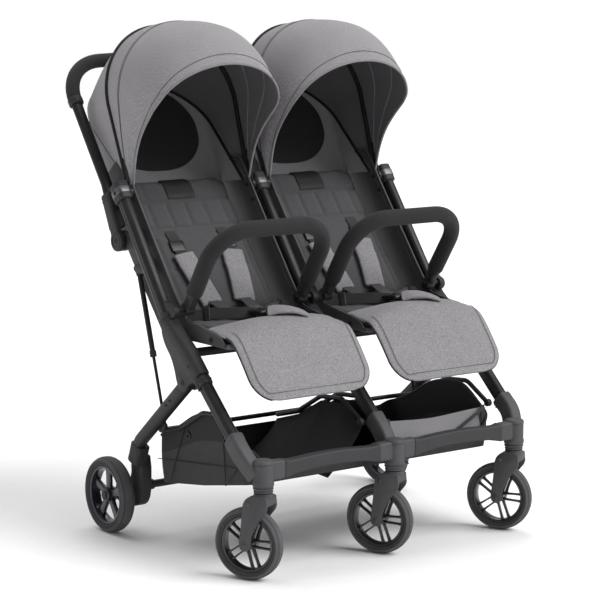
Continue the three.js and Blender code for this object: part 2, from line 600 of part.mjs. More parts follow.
for (const [name, x] of SEATS) {
  add(`canopy_front_${name}`, canopyPanel(CANOPY_HALF, CANOPY.crown, CANOPY_FRONT, x), FINISH.melange);
  add(`canopy_rear_${name}`, canopyPanel(CANOPY_HALF - CANOPY.nest, CANOPY.crown - CANOPY.nest, CANOPY_REAR, x), FINISH.lining);
  add(`canopy_bow_${name}`, canopyBow(x), FINISH.frame);
}

// ---------------------------------------------------------------- seats
/** The seat: a pad between two wings that run up to the canopy. */
function seatBase(x) {
  const { wing, bottom, top, front, back } = SEAT;
  const half = SEAT_HALF;
  const pad = slab([[front, bottom + 4], [front + 4, bottom], [back - 8, bottom], [back, bottom + 6], [back, top - 2], [front + 5, top + 3],
    [front, top - 2]], x - half, x + half);
  const side = [[front, bottom + 4], [front, top + 8], [-132, top + 8], [44, 700], [150, 742], [168, 724], [-56, bottom]];
  return join(pad, slab(side, x - half, x - half + wing), slab(side, x + half - wing, x + half));
}

/** The backrest: a flat pad on the recline hinge. */
function backrest(x) {
  const { foot, head, thickness } = BACKREST;
  const half = SEAT_HALF - SEAT.wing - SEAT.padGap;
  const length = distance(foot, head);
  const [uy, uz] = [(head[0] - foot[0]) / length, (head[1] - foot[1]) / length];
  const corner = (s, d) => [foot[0] + uy * s + uz * d, foot[1] + uz * s - uy * d];
  const outline = [corner(4, 0), corner(length - 6, 0), corner(length, 6), corner(length, thickness - 6), corner(length - 6, thickness),
    corner(14, thickness), corner(4, thickness - 8)];
  return slab(outline, x - half, x + half);
}

/** The footrest: a flap with rounded lower corners. */
function footrest(x) {
  const { reach, thickness, drop, corner } = FOOTREST;
  const half = SEAT_HALF;
  const outline = new THREE.Shape();
  outline.moveTo(-half, -6);
  outline.lineTo(half, -6);
  outline.lineTo(half - 6, corner - reach);
  outline.absarc(half - 6 - corner, corner - reach, corner, 0, -Math.PI / 2, true);
  outline.absarc(corner + 6 - half, corner - reach, corner, -Math.PI / 2, -Math.PI, true);
  outline.closePath();
  const geometry = new THREE.ExtrudeGeometry(outline, { depth: thickness, bevelEnabled: false, curveSegments: 6 });
  geometry.translate(0, 0, -thickness / 2).rotateX(Math.PI / 2 - THREE.MathUtils.degToRad(drop));
  return solid(geometry).translate([x, ...FOOTREST_PIVOT]);
}

/** The bumper bar: a foam hoop on two plugs that turn on the leg castings' pins. */
function bumperBar(x) {
  const lean = THREE.MathUtils.degToRad(BUMPER.lean);
  const up = new THREE.Vector3(0, -Math.sin(lean), Math.cos(lean));
  const normal = new THREE.Vector3(0, Math.cos(lean), Math.sin(lean));
  const on = (dx, s) => at(x + dx, BUMPER_PIVOT).addScaledVector(up, s);
  const { rise, plugLength } = BUMPER;
  const half = BUMPER_HALF;
  const hoop = rounded([on(-half, plugLength), on(-half, rise), on(half, rise), on(half, plugLength)], BUMPER.bend, 5);
  let body = sweep(oval(2 * BUMPER.foam, 2 * BUMPER.foam), hoop, normal);
  for (const dx of [-half, half]) {
    const end = bar(BUMPER.plug + 2, x + dx - BUMPER.boss, x + dx + BUMPER.boss, BUMPER_PIVOT, 20);
    const plug = sweep(oval(2 * BUMPER.plug, 2 * BUMPER.plug), [on(dx, 2), on(dx, plugLength + 3)], normal);
    body = cut(join(body, plug, end), bar(BUMPER.pin + RUN, x + dx - 20, x + dx + 20, BUMPER_PIVOT, 20));
  }
  return body;
}

for (const [name, x] of SEATS) {
  add(`seat_base_${name}`, seatBase(x), FINISH.lining);
  add(`backrest_${name}`, backrest(x), FINISH.lining);
  add(`footrest_${name}`, footrest(x), FINISH.melange);
  add(`bumper_bar_${name}`, bumperBar(x), FINISH.foam);
}

// ---------------------------------------------------------------- basket
{
  const w = BASKET.wall;
  const side = [[-352, 176], [-175, 140], [-10, 113], [-3, 120], [-3, 214], [-60, 246], [-150, 288], [-262, 292], [-330, 244], [-352, 240]];
  const hollow = [[-352 + w, 300], [-352 + w, 176 + w], [-175, 140 + w], [-10 - w, 113 + w + 2], [-3 - w, 120 + w], [-3 - w, 300]];
  const walls = cut(slab(side, -BASKET_HALF, BASKET_HALF), slab(hollow, -BASKET_HALF + w, BASKET_HALF - w));
  const above = slab([[-360, 216], [-360, 330], [20, 330], [20, 206], [-3 - w, 206], [-352 + w, 216]], -BASKET_HALF + w, BASKET_HALF - w);
  add('basket', cut(walls, above), FINISH.mesh);
}

/** A hoop over the basket: up from the front legs, back, and across. */
function basketHoop(x, back) {
  const leg = (side) => rounded([at(side * x, [-330, 262]), at(side * x, [-262, 300]), at(side * x, [-190, 294]),
    at(side * x, [-110, 250]), at(side * x, back)], 20, 3);
  const half = leg(-1);
  const other = leg(1).reverse();
  return [...half.slice(0, -1), at(-x, back), at(x, back), ...other.slice(1)];
}

add('basket_rail', sweep(oval(2 * RAIL.radius, 2 * RAIL.radius, 8), basketHoop(SEAT_PITCH - RAIL.inset, [-8, 226]), new THREE.Vector3(0, 0.5, 1)), FINISH.frame);
add('basket_arch', sweep(oval(2 * RAIL.radius, 2 * RAIL.radius, 8), basketHoop(RAIL.inner, [-22, 226]), new THREE.Vector3(0, 0.5, 1)), FINISH.frame);

// ---------------------------------------------------------------- origin at the middle of the footprint
const bounds = new THREE.Box3().setFromObject(stroller, true);
const middle = (bounds.min.y + bounds.max.y) / 2;
for (const mesh of stroller.children) mesh.position.y -= middle;

export default stroller;
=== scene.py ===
"""Looks of a side-by-side twin stroller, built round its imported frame.

Lengths are millimetres in the maker's own axes: x across, y backwards, z up, with the floor at 0.
Bench.fit moves them into the frame's metres.
"""

from __future__ import annotations

import sys
import json
import logging
import math
from dataclasses import dataclass, field
from enum import Enum

import bmesh
import bpy
import numpy as np
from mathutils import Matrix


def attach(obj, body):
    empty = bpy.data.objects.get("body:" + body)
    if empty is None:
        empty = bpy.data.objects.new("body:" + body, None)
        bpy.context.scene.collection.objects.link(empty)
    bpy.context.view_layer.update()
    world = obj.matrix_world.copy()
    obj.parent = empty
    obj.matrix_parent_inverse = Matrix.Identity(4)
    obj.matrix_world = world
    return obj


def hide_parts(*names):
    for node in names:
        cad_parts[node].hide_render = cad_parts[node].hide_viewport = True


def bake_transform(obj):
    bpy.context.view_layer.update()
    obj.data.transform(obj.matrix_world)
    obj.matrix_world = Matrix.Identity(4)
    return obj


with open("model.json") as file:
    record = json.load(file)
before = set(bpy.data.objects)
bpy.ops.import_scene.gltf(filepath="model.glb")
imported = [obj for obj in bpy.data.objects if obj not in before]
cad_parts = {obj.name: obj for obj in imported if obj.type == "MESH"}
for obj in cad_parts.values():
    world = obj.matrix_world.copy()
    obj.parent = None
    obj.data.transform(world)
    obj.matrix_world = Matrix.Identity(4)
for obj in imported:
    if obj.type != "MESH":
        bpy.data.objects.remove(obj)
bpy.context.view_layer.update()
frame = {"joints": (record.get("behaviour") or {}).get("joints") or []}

LOG = logging.getLogger("stroller")
MM = 0.001
ACROSS = (1.0, 0.0, 0.0)

# Side profile of one frame, as (y, z).
CLAMP = (64.0, 716.0)
KNEE = (-119.0, 464.0)
HIP = (-183.0, 416.0)
LEG_FOOT = (-375.0, 239.0)
FOLD_PIVOT = (-183.0, 358.0)
KNUCKLE = (69.0, 617.0)
BUMPER_PIVOT = (-133.0, 497.0)
BACK_FOOT = (-80.0, 462.0)
BACK_HEAD = (148.0, 740.0)

FRAME_PITCH = 345.0
CASTER_PITCH = 322.0
SIDES = {"left": -1, "right": 1}
FRAMES = {"left": -1, "middle": 0, "right": 1}


class Body(str, Enum):
    """The bodies that pieces ride on. A {side} is filled in where there is one body per side."""

    FRONT = "front_frame"
    REAR = "rear_frame"
    HANDLE = "handle"
    BRAKE = "brake"
    CANOPY = "canopy_{side}"
    BACK = "back_{side}"
    FOOT = "foot_{side}"
    BUMPER = "bumper_{side}"
    SLEEVE = "link_sleeve_{side}"
    ROD = "link_rod_{side}"
    REAR_WHEEL = "rear_wheel_{side}"
    CASTER = "caster_{side}"
    FRONT_WHEEL = "front_wheel_{side}"

    def of(self, side: str = "") -> str:
        """The body's name on one side."""
        return self.value.format(side=side)


class Slot(str, Enum):
    """The record's material slots."""

    TUBE = "frame_tube"
    ROD = "link_rod"
    JOINT = "joint_plastic"
    CASTER = "caster_plastic"
    RIM = "rim_plastic"
    TYRE = "tyre"
    FOAM = "foam"
    MELANGE = "melange"
    LINING = "lining"
    BASKET = "basket_fabric"


# ------------------------------------------------------------------------------------ shapes
@dataclass
class Shape:
    """A closed surface.

    Attributes:
        points: its corners, in millimetres, one row each.
        quads: its four-sided faces, as rows of corner numbers.
        caps: its many-sided faces.
        flat: a place in metres for every corner, along the cloth or the path.
        marks: which finish each quad takes.
        cap_marks: which finish each cap takes.
    """

    points: np.ndarray
    quads: np.ndarray
    caps: list[np.ndarray] = field(default_factory=list)
    flat: np.ndarray | None = None
    marks: np.ndarray | None = None
    cap_marks: list[int] = field(default_factory=list)

    def __post_init__(self) -> None:
        """Fills in what was left out."""
        if self.flat is None:
            self.flat = self.points[:, :2] * MM
        if self.marks is None:
            self.marks = np.zeros(len(self.quads), int)
        self.cap_marks += [0] * (len(self.caps) - len(self.cap_marks))

    def __add__(self, other: Shape) -> Shape:
        """Both surfaces as one piece."""
        shift = len(self.points)
        return Shape(
            np.vstack([self.points, other.points]),
            np.vstack([self.quads, other.quads + shift]),
            self.caps + [cap + shift for cap in other.caps],
            np.vstack([self.flat, other.flat]),
            np.concatenate([self.marks, other.marks]),
            self.cap_marks + other.cap_marks,
        )

    def moved(self, x: float = 0.0, y: float = 0.0, z: float = 0.0) -> Shape:
        """The same surface somewhere else."""
        return self.bent(lambda points: points + np.array([x, y, z]))

    def turned(self, axis: int, degrees: float, about: tuple[float, ...] = (0.0, 0.0, 0.0)) -> Shape:
        """The surface turned about an axis: each point p becomes c + R (p - c).

        Args:
            axis: 0, 1 or 2, for x, y or z.
            degrees: the turn, by the right-hand rule.
            about: a point c on the axis.

        Returns:
            The turned surface.
        """
        cos, sin = math.cos(math.radians(degrees)), math.sin(math.radians(degrees))
        turn = np.eye(3)
        first, second = (axis + 1) % 3, (axis + 2) % 3
        turn[first, first], turn[first, second] = cos, -sin
        turn[second, first], turn[second, second] = sin, cos
        centre = np.array(about)
        return self.bent(lambda points: (points - centre) @ turn.T + centre)

    def bent(self, rule) -> Shape:
        """The surface with a rule applied to all its points at once."""
        return Shape(rule(self.points), self.quads, self.caps, self.flat, self.marks, self.cap_marks)

    def marked(self, mark: int) -> Shape:
        """The surface with one finish number throughout."""
        marks = np.full(len(self.quads), mark)
        return Shape(self.points, self.quads, self.caps, self.flat, marks, [mark] * len(self.caps))


def lattice(rows: int, columns: int, ring: bool = False, loop: bool = False) -> np.ndarray:
    """The quads of a grid of points.

    Args:
        rows: how many rows of points there are.
        columns: how many points a row has.
        ring: whether each row's last point joins its first.
        loop: whether the last row joins the first.

    Returns:
        One row of four point numbers for each quad.
    """
    down = np.arange(rows if loop else rows - 1)[:, None]
    along = np.arange(columns if ring else columns - 1)[None, :]
    below, beside = (down + 1) % rows, (along + 1) % columns
    corners = [down * columns + along, down * columns + beside, below * columns + beside, below * columns + along]
    return np.stack([np.broadcast_to(c, (down.size, along.size)).ravel() for c in corners], axis=1)


def spans(points: np.ndarray) -> np.ndarray:
    """How far along a line each of its points is, from the first."""
    steps = np.linalg.norm(np.diff(points, axis=0), axis=1)
    return np.concatenate([[0.0], np.cumsum(steps)])


def unit(vectors: np.ndarray) -> np.ndarray:
    """Vectors divided by their lengths."""
    return vectors / np.maximum(np.linalg.norm(vectors, axis=-1, keepdims=True), 1e-9)


def oval(width: float, height: float | None = None, power: float = 2.0, count: int = 28) -> np.ndarray:
    """A superellipse: |2a/width| ** power + |2b/height| ** power = 1, at equal steps of its angle.

    Args:
        width: its size along the first axis.
        height: its size along the second, or None for the same.
        power: 2 for an ellipse, more for a rounder-cornered box.
        count: how many points it has.

    Returns:
        The points (a, b).
    """
    angle = 2 * np.pi * (np.arange(count) + 0.5) / count
    cos, sin = np.cos(angle), np.sin(angle)
    tall = width if height is None else height
    return np.stack([
        np.sign(cos) * np.abs(cos) ** (2 / power) * width / 2,
        np.sign(sin) * np.abs(sin) ** (2 / power) * tall / 2,
    ], axis=1)


def grooved(width: float, height: float, groove: float = 4.0, depth: float = 1.4) -> np.ndarray:
    """A tube's section with a groove down each flat side: points within half a groove of the middle stand in."""
    section = oval(width, height, 2.6, 56)
    inside = np.clip(1 - np.abs(section[:, 1]) / (groove / 2), 0, 1) ** 0.5
    section[:, 0] -= np.sign(section[:, 0]) * depth * inside
    return section


def tube(
    path: np.ndarray,
    section: np.ndarray,
    side: tuple[float, ...] = ACROSS,
    scale: np.ndarray | None = None,
    soft: float = 1.0,
) -> Shape:
    """A section carried along a path: its point (a, b) stands at path + a * side + b * (side x tangent).

    Each end is rounded over: rings at steps of a quarter turn stand in by soft * (1 - sin) and back by
    soft * (1 - cos).

    Args:
        path: the points of the path.
        section: the section's points (a, b).
        side: the direction that the section's first axis keeps to.
        scale: a factor for each path point, or a pair of them for the two axes.
        soft: how far the ends are rounded over.

    Returns:
        The tube, capped at both ends.
    """
    path = np.asarray(path, float)
    steps = unit(np.diff(path, axis=0))
    tangent = unit(np.vstack([steps[:1], steps[:-1] + steps[1:], steps[-1:]]))
    factors = np.ones((len(path), 2)) if scale is None else np.broadcast_to(
        np.asarray(scale, float).reshape(len(path), -1), (len(path), 2))
    if soft > 0:
        quarter = np.linspace(0, np.pi / 2, 4)
        back = soft * (1 - np.cos(quarter))[:, None]
        shrink = 1 - soft * (1 - np.sin(quarter))[:, None] / (np.abs(section).max(axis=0) + 1e-9)
        shrink = np.clip(shrink, 0.05, 1)
        path = np.vstack([path[0] + back * tangent[0], path[1:-1], path[-1] - back[::-1] * tangent[-1]])
        tangent = np.vstack([np.repeat(tangent[:1], 4, axis=0), tangent[1:-1], np.repeat(tangent[-1:], 4, axis=0)])
        factors = np.vstack([factors[:1] * shrink, factors[1:-1], factors[-1:] * shrink[::-1]])
    first = np.array(side, float)
    first = unit(first - (tangent @ first)[:, None] * tangent)
    second = np.cross(first, tangent)
    offset = section[None, :, :] * factors[:, None, :]
    grid = path[:, None, :] + offset[..., :1] * first[:, None, :] + offset[..., 1:] * second[:, None, :]
    rows, columns = grid.shape[:2]
    girth = spans(np.vstack([section, section[:1]]))[:-1]
    flat = np.stack(np.broadcast_arrays(girth[None, :], spans(path)[:, None]), axis=-1) * MM
    ends = [np.arange(columns), np.arange(columns) + (rows - 1) * columns]
    return Shape(grid.reshape(-1, 3), lattice(rows, columns, ring=True), ends, flat.reshape(-1, 2))


def rounded(points: list, radius: float, steps: int = 6, loop: bool = False) -> np.ndarray:
    """A polyline whose corners are circular arcs.

    Each corner becomes an arc whose centre lies on the corner's bisector at radius / sin(half the angle),
    made smaller where a neighbouring corner is close.

    Args:
        points: the corners, of two or three numbers each.
        radius: the arcs' radius.
        steps: how many parts an arc has.
        loop: whether the line is closed.

    Returns:
        The line's points.
    """
    points = np.asarray(points, float)
    count = len(points)
    line = [] if loop else [points[:1]]
    for i in range(0 if loop else 1, count if loop else count - 1):
        here = points[i]
        to_last, to_next = points[i - 1] - here, points[(i + 1) % count] - here
        reach = 0.48 * min(np.linalg.norm(to_last), np.linalg.norm(to_next))
        back, on = unit(to_last), unit(to_next)
        half = math.acos(float(np.clip(back @ on, -0.99999, 0.99999))) / 2
        size = min(radius, reach * math.tan(half))
        start = here + back * size / math.tan(half)
        spoke = start - (here + unit(back + on) * size / math.sin(half))
        angle = np.linspace(0, math.pi - 2 * half, steps + 1)[:, None]
        line.append(start - spoke + spoke * np.cos(angle) - back * size * np.sin(angle))
    return np.vstack(line if loop else line + [points[-1:]])


def curve(points: list, count: int = 40) -> np.ndarray:
    """A smooth line through points: on each stretch the cubic (Catmull-Rom) set by the four nearest points.

    Args:
        points: what the line passes through.
        count: how many points it has.

    Returns:
        The line's points, evenly spread over the stretches.
    """
    given = np.asarray(points, float)
    padded = np.vstack([2 * given[0] - given[1], given, 2 * given[-1] - given[-2]])
    place = np.linspace(0, len(given) - 1, count)
    first = np.minimum(place.astype(int), len(given) - 2)
    t = (place - first)[:, None]
    a, b, c, d = (padded[first + k] for k in range(4))
    return 0.5 * (2 * b + (c - a) * t + (2 * a - 5 * b + 4 * c - d) * t**2 + (3 * b - a - 3 * c + d) * t**3)


def inset(outline: np.ndarray, depth: float) -> np.ndarray:
    """A closed (u, v) outline moved inwards along the normals of its corners."""
    ahead = np.roll(outline, -1, axis=0) - outline
    behind = outline - np.roll(outline, 1, axis=0)
    tangent = unit(unit(ahead) + unit(behind))
    area = np.sum(outline[:, 0] * np.roll(outline[:, 1], -1) - np.roll(outline[:, 0], -1) * outline[:, 1])
    normal = np.stack([-tangent[:, 1], tangent[:, 0]], axis=1) * math.copysign(1, area)
    return outline + depth * normal


def slab(outline: list, low: float, high: float, corner: float = 4.0, bevel: float = 1.2) -> Shape:
    """A (y, z) outline carried from one x to another, with its edges rounded over.

    Args:
        outline: the corners (y, z).
        low: where it starts across the stroller.
        high: where it ends.
        corner: the radius of the outline's corners.
        bevel: how far the edges between side and face are rounded over.

    Returns:
        The closed plate.
    """
    loop = rounded(outline, corner, 4, loop=True)
    quarter = np.linspace(0, np.pi / 2, 3)
    back, into = bevel * (1 - np.cos(quarter)), bevel * (1 - np.sin(quarter))
    places = np.concatenate([low + back, high - back[::-1]])
    depths = np.concatenate([into, into[::-1]])
    rings = np.stack([
        np.column_stack([np.full(len(loop), x), inset(loop, depth)]) for x, depth in zip(places, depths)
    ])
    rows, columns = rings.shape[:2]
    ends = [np.arange(columns), np.arange(columns) + (rows - 1) * columns]
    points = rings.reshape(-1, 3)
    return Shape(points, lattice(rows, columns, ring=True), ends, points[:, 1:] * MM)


def turned(profile: list, axis: int = 0, centre: tuple = (0.0, 0.0, 0.0), count: int = 48, loop: bool = False) -> Shape:
    """A profile turned round an axis: the point (r, h) makes the ring h * axis + r * (cos, sin).

    Args:
        profile: the points (radius, place along the axis).
        axis: 0, 1 or 2, for x, y or z.
        centre: a point on the axis.
        count: how many points a ring has.
        loop: whether the profile closes on itself, as a tyre's does.

    Returns:
        The closed surface.
    """
    profile = np.asarray(profile, float)
    radius = np.maximum(profile[:, 0], 0.05)[:, None]
    angle = 2 * np.pi * np.arange(count) / count
    grid = np.zeros((len(profile), count, 3))
    grid[..., axis] = profile[:, 1:]
    grid[..., (axis + 1) % 3] = radius * np.cos(angle)
    grid[..., (axis + 2) % 3] = radius * np.sin(angle)
    rows = len(profile)
    ends = [] if loop else [np.arange(count), np.arange(count) + (rows - 1) * count]
    reach = spans(profile)[:, None]
    flat = np.stack(np.broadcast_arrays(angle[None, :] * float(radius.max()), reach), axis=-1) * MM
    return Shape((grid + np.array(centre)).reshape(-1, 3), lattice(rows, count, ring=True, loop=loop), ends,
                 flat.reshape(-1, 2))


def bar(radius: float, low: float, high: float, edge: float) -> list[tuple[float, float]]:
    """The profile of a round bar: each end is chamfered by edge, then by 0.3 of it."""
    third = edge * 0.3
    return [(0, low), (radius - edge, low), (radius - third, low + third), (radius, low + edge),
            (radius, high - edge), (radius - third, high - third), (radius - edge, high), (0, high)]


def peg(radius: float, low: float, high: float, centre: tuple, edge: float = 1.0, count: int = 32) -> Shape:
    """A round bar along x with rounded-over ends.

    Args:
        radius: the bar's radius.
        low: where it starts.
        high: where it ends.
        centre: the (y, z) of its axis.
        edge: how far its ends are rounded over.
        count: how many points a ring has.

    Returns:
        The closed bar.
    """
    return turned(bar(radius, low, high, edge), 0, (0.0, *centre), count)


def post(radius: float, low: float, high: float, x: float, y: float, edge: float = 1.0) -> Shape:
    """A round bar along z with rounded-over ends."""
    return turned(bar(radius, low, high, edge), 2, (x, y, 0.0), 32)


def screw(x: float, at: tuple, side: int, radius: float = 4.5, proud: float = 1.6) -> Shape:
    """A screw's head on a side face: a low dome with a hexagonal socket's rim, facing out across the stroller."""
    profile = [(0.0, 0.2), (radius * 0.42, 0.2), (radius * 0.46, proud), (radius * 0.72, proud),
               (radius, proud * 0.35), (radius, -1.5), (0.0, -1.5)]
    return turned([(r, x + side * h) for r, h in profile], 0, (0.0, *at), 18)


def shell(grid: np.ndarray, thickness: float) -> Shape:
    """A sheet of cloth as a closed thin shell: a grid of points, the same grid moved back along its normals, and a rim.

    The outer face takes the first finish, the inner face the second and the rim the third.

    Args:
        grid: the outer face's points, as rows of columns.
        thickness: how far the inner face stands behind the outer.

    Returns:
        The closed shell, with a flat map that follows the cloth's own lengths.
    """
    rows, columns = grid.shape[:2]
    normal = unit(np.cross(np.gradient(grid, axis=0), np.gradient(grid, axis=1)))
    inner = grid - thickness * normal
    count = rows * columns
    faces = lattice(rows, columns)
    numbers = np.arange(count).reshape(rows, columns)
    edge = np.concatenate([numbers[0, :-1], numbers[:-1, -1], numbers[-1, :0:-1], numbers[:0:-1, 0]])
    following = np.roll(edge, -1)
    band = np.stack([edge, following, following + count, edge + count], axis=1)
    along = np.vstack([np.zeros(columns), np.cumsum(np.linalg.norm(np.diff(grid, axis=0), axis=2), axis=0)])
    across = np.hstack([np.zeros((rows, 1)), np.cumsum(np.linalg.norm(np.diff(grid, axis=1), axis=2), axis=1)])
    across -= across[:, columns // 2][:, None]
    flat = np.stack([across, along], axis=-1).reshape(-1, 2) * MM
    return Shape(
        np.vstack([grid.reshape(-1, 3), inner.reshape(-1, 3)]),
        np.vstack([faces, faces[:, ::-1] + count, band]),
        [],
        np.vstack([flat, flat]),
        np.repeat([0, 1, 2], [len(faces), len(faces), len(band)]),
    )


def along(start: tuple, end: tuple, distance: float) -> tuple[float, float]:
    """The (y, z) point a distance from one point towards another."""
    way = unit(np.subtract(end, start).astype(float))
    return float(start[0] + way[0] * distance), float(start[1] + way[1] * distance)


def gap(start: tuple, end: tuple) -> float:
    """The distance between two (y, z) points."""
    return math.hypot(end[0] - start[0], end[1] - start[1])


def line(x: float, *places: tuple) -> list[tuple[float, float, float]]:
    """(y, z) points in the plane of one x."""
    return [(x, y, z) for y, z in places]


def band(first: float, second: float) -> tuple[float, float]:
    """Two places across the stroller in rising order."""
    return min(first, second), max(first, second)


def wire(path: np.ndarray, radius: float, count: int = 10) -> Shape:
    """A thin round line of piping, cord or stitching."""
    return tube(path, oval(2 * radius, count=count), (0.31, 0.2, 0.93), soft=radius * 0.8)


def even(points: np.ndarray, count: int) -> np.ndarray:
    """A line's points again, at even distances along it."""
    reach = spans(points)
    places = np.linspace(0, reach[-1], count)
    return np.stack([np.interp(places, reach, points[:, k]) for k in range(points.shape[1])], axis=1)


def ease(t: np.ndarray) -> np.ndarray:
    """0 to 1 with level ends: 3 t^2 - 2 t^3, held to 0 and 1 outside."""
    held = np.clip(t, 0, 1)
    return held * held * (3 - 2 * held)


# ------------------------------------------------------------------------------------ finishes
def linear(red: int, green: int, blue: int) -> tuple[float, float, float, float]:
    """A colour given in screen steps of 0 to 255 as the shader's linear one."""
    steps = np.array([red, green, blue]) / 255
    made = np.where(steps <= 0.04045, steps / 12.92, ((steps + 0.055) / 1.055) ** 2.4)
    return (*map(float, made), 1.0)


def grey(level: int) -> tuple[float, float, float, float]:
    """The faintly cool grey of the black parts, in screen steps."""
    return linear(level, level, level + 2)


class Wires:
    """A material under construction: it adds nodes, joins them, and reads coordinates in metres."""

    def __init__(self, name: str, metal: float, rough: float, sheen: float = 0.0, coat: float = 0.0,
                 gloss: float = 0.3) -> None:
        """Starts a material.

        Args:
            name: the material's name.
            metal: 1 for bare metal.
            rough: the shader's roughness where nothing varies it.
            sheen: the cloth's sheen.
            coat: the weight of a glossy coat.
            gloss: how much the bare surface mirrors, where 0.5 is a hard plastic.
        """
        self.material = bpy.data.materials.new(name)
        self.material.use_nodes = True
        self.tree = self.material.node_tree
        self.shader = self.tree.nodes["Principled BSDF"]
        self.shader.inputs["Metallic"].default_value = metal
        self.shader.inputs["Roughness"].default_value = rough
        self.shader.inputs["Sheen Weight"].default_value = sheen
        self.shader.inputs["Sheen Roughness"].default_value = 0.6
        self.shader.inputs["Coat Weight"].default_value = coat
        self.shader.inputs["Coat Roughness"].default_value = 0.25
        self.shader.inputs["Specular IOR Level"].default_value = gloss

    def node(self, kind: str, **values) -> bpy.types.Node:
        """Adds a node and sets its inputs, by socket name with spaces as underscores, or joins sockets to them."""
        made = self.tree.nodes.new("ShaderNode" + kind)
        for name, value in values.items():
            if name.islower():
                setattr(made, name, value)
                continue
            socket = made.inputs[name.replace("_", " ")]
            if isinstance(value, bpy.types.NodeSocket):
                self.tree.links.new(value, socket)
            else:
                socket.default_value = value
        return made

    def place(self, flat: bool, stretch: tuple = (1.0, 1.0, 1.0),
              turn: tuple = (0.0, 0.0, 0.0)) -> bpy.types.NodeSocket:
        """Where a point is, in metres: on the cloth's own flat map, or on the object."""
        source = self.node("TexCoord").outputs["UV" if flat else "Object"]
        turns = tuple(math.radians(t) for t in turn)
        return self.node("Mapping", Vector=source, Scale=stretch, Rotation=turns).outputs["Vector"]

    def noise(self, where: bpy.types.NodeSocket, size: float, detail: float = 3.0) -> bpy.types.NodeSocket:
        """Noise whose lumps are about a size in metres."""
        return self.node("TexNoise", Vector=where, Scale=1 / size, Detail=detail, Roughness=0.6).outputs["Fac"]

    def ribs(self, where: bpy.types.NodeSocket, pitch: float, axis: str) -> bpy.types.NodeSocket:
        """Even waves across one axis, a pitch apart in metres."""
        scale = 2 * math.pi / (20 * pitch)
        return self.node("TexWave", Vector=where, Scale=scale, bands_direction=axis).outputs["Fac"]

    def sum(self, first, second, rule: str = "ADD") -> bpy.types.NodeSocket:
        """Two values joined by an operation."""
        made = self.node("Math", operation=rule)
        for socket, value in zip(made.inputs, (first, second)):
            if isinstance(value, bpy.types.NodeSocket):
                self.tree.links.new(value, socket)
            else:
                socket.default_value = value
        return made.outputs[0]

    def span(self, value: bpy.types.NodeSocket, low: float, high: float,
             to: tuple = (0.0, 1.0)) -> bpy.types.NodeSocket:
        """A value's stretch from low to high carried onto another stretch."""
        return self.node("MapRange", Value=value, From_Min=low, From_Max=high, To_Min=to[0], To_Max=to[1]).outputs[0]

    def tint(self, share: bpy.types.NodeSocket, first: tuple, second: tuple) -> None:
        """Sets the colour to a mix of two."""
        ramp = self.node("ValToRGB", Fac=share)
        ramp.color_ramp.elements[0].color = first
        ramp.color_ramp.elements[1].color = second
        self.tree.links.new(ramp.outputs["Color"], self.shader.inputs["Base Color"])

    def roughen(self, share: bpy.types.NodeSocket, low: float, high: float) -> None:
        """Varies the roughness between two values."""
        self.tree.links.new(self.span(share, 0.3, 0.7, (low, high)), self.shader.inputs["Roughness"])

    def emboss(self, height: bpy.types.NodeSocket, depth: float, strength: float = 1.0) -> None:
        """Raises and sinks the surface by a depth in metres."""
        made = self.node("Bump", Height=height, Distance=depth, Strength=strength)
        self.tree.links.new(made.outputs["Normal"], self.shader.inputs["Normal"])


@dataclass(frozen=True)
class Weave:
    """Woven cloth: two sets of threads, flecks of a second colour and a slow drift of tone.

    Attributes:
        name: the finish's name.
        dark: the colour of its darker threads.
        light: the colour of its lighter threads.
        pitch: how far apart the threads are, in metres.
        flat: whether the threads follow the piece's own flat map.
        lean: how far the threads are turned about x, in degrees, where they follow the object.
        fleck: how much of the colour comes from single threads.
        sheen: how much the nap catches the light.
    """

    name: str
    dark: tuple
    light: tuple
    pitch: float = 0.0014
    flat: bool = False
    lean: float = 0.0
    fleck: float = 0.8
    sheen: float = 0.15

    def make(self) -> bpy.types.Material:
        """Builds the material."""
        wires = Wires(self.name, 0.0, 0.92, self.sheen, gloss=0.15)
        turn = (self.lean, 0.0, 0.0)
        where = wires.place(self.flat, turn=turn)
        warp = wires.noise(wires.place(self.flat, (1.0, 0.4, 0.4), turn), self.pitch * 0.8, 2.0)
        weft = wires.noise(wires.place(self.flat, (0.4, 1.0, 1.0), turn), self.pitch * 0.8, 2.0)
        threads = wires.sum(warp, weft)
        drift = wires.noise(where, 0.05, 2.0)
        fleck = wires.span(threads, 1.0 - 0.22 / self.fleck, 1.0 + 0.22 / self.fleck)
        share = wires.sum(wires.sum(fleck, 0.8, "MULTIPLY"), wires.sum(drift, 0.2, "MULTIPLY"))
        wires.tint(share, self.dark, self.light)
        over = wires.ribs(where, self.pitch, "X")
        under = wires.ribs(where, self.pitch, "Y" if self.flat else "Z")
        weave = wires.sum(wires.sum(over, under, "MULTIPLY"), threads)
        wires.emboss(weave, self.pitch * 0.3, 0.7)
        return wires.material


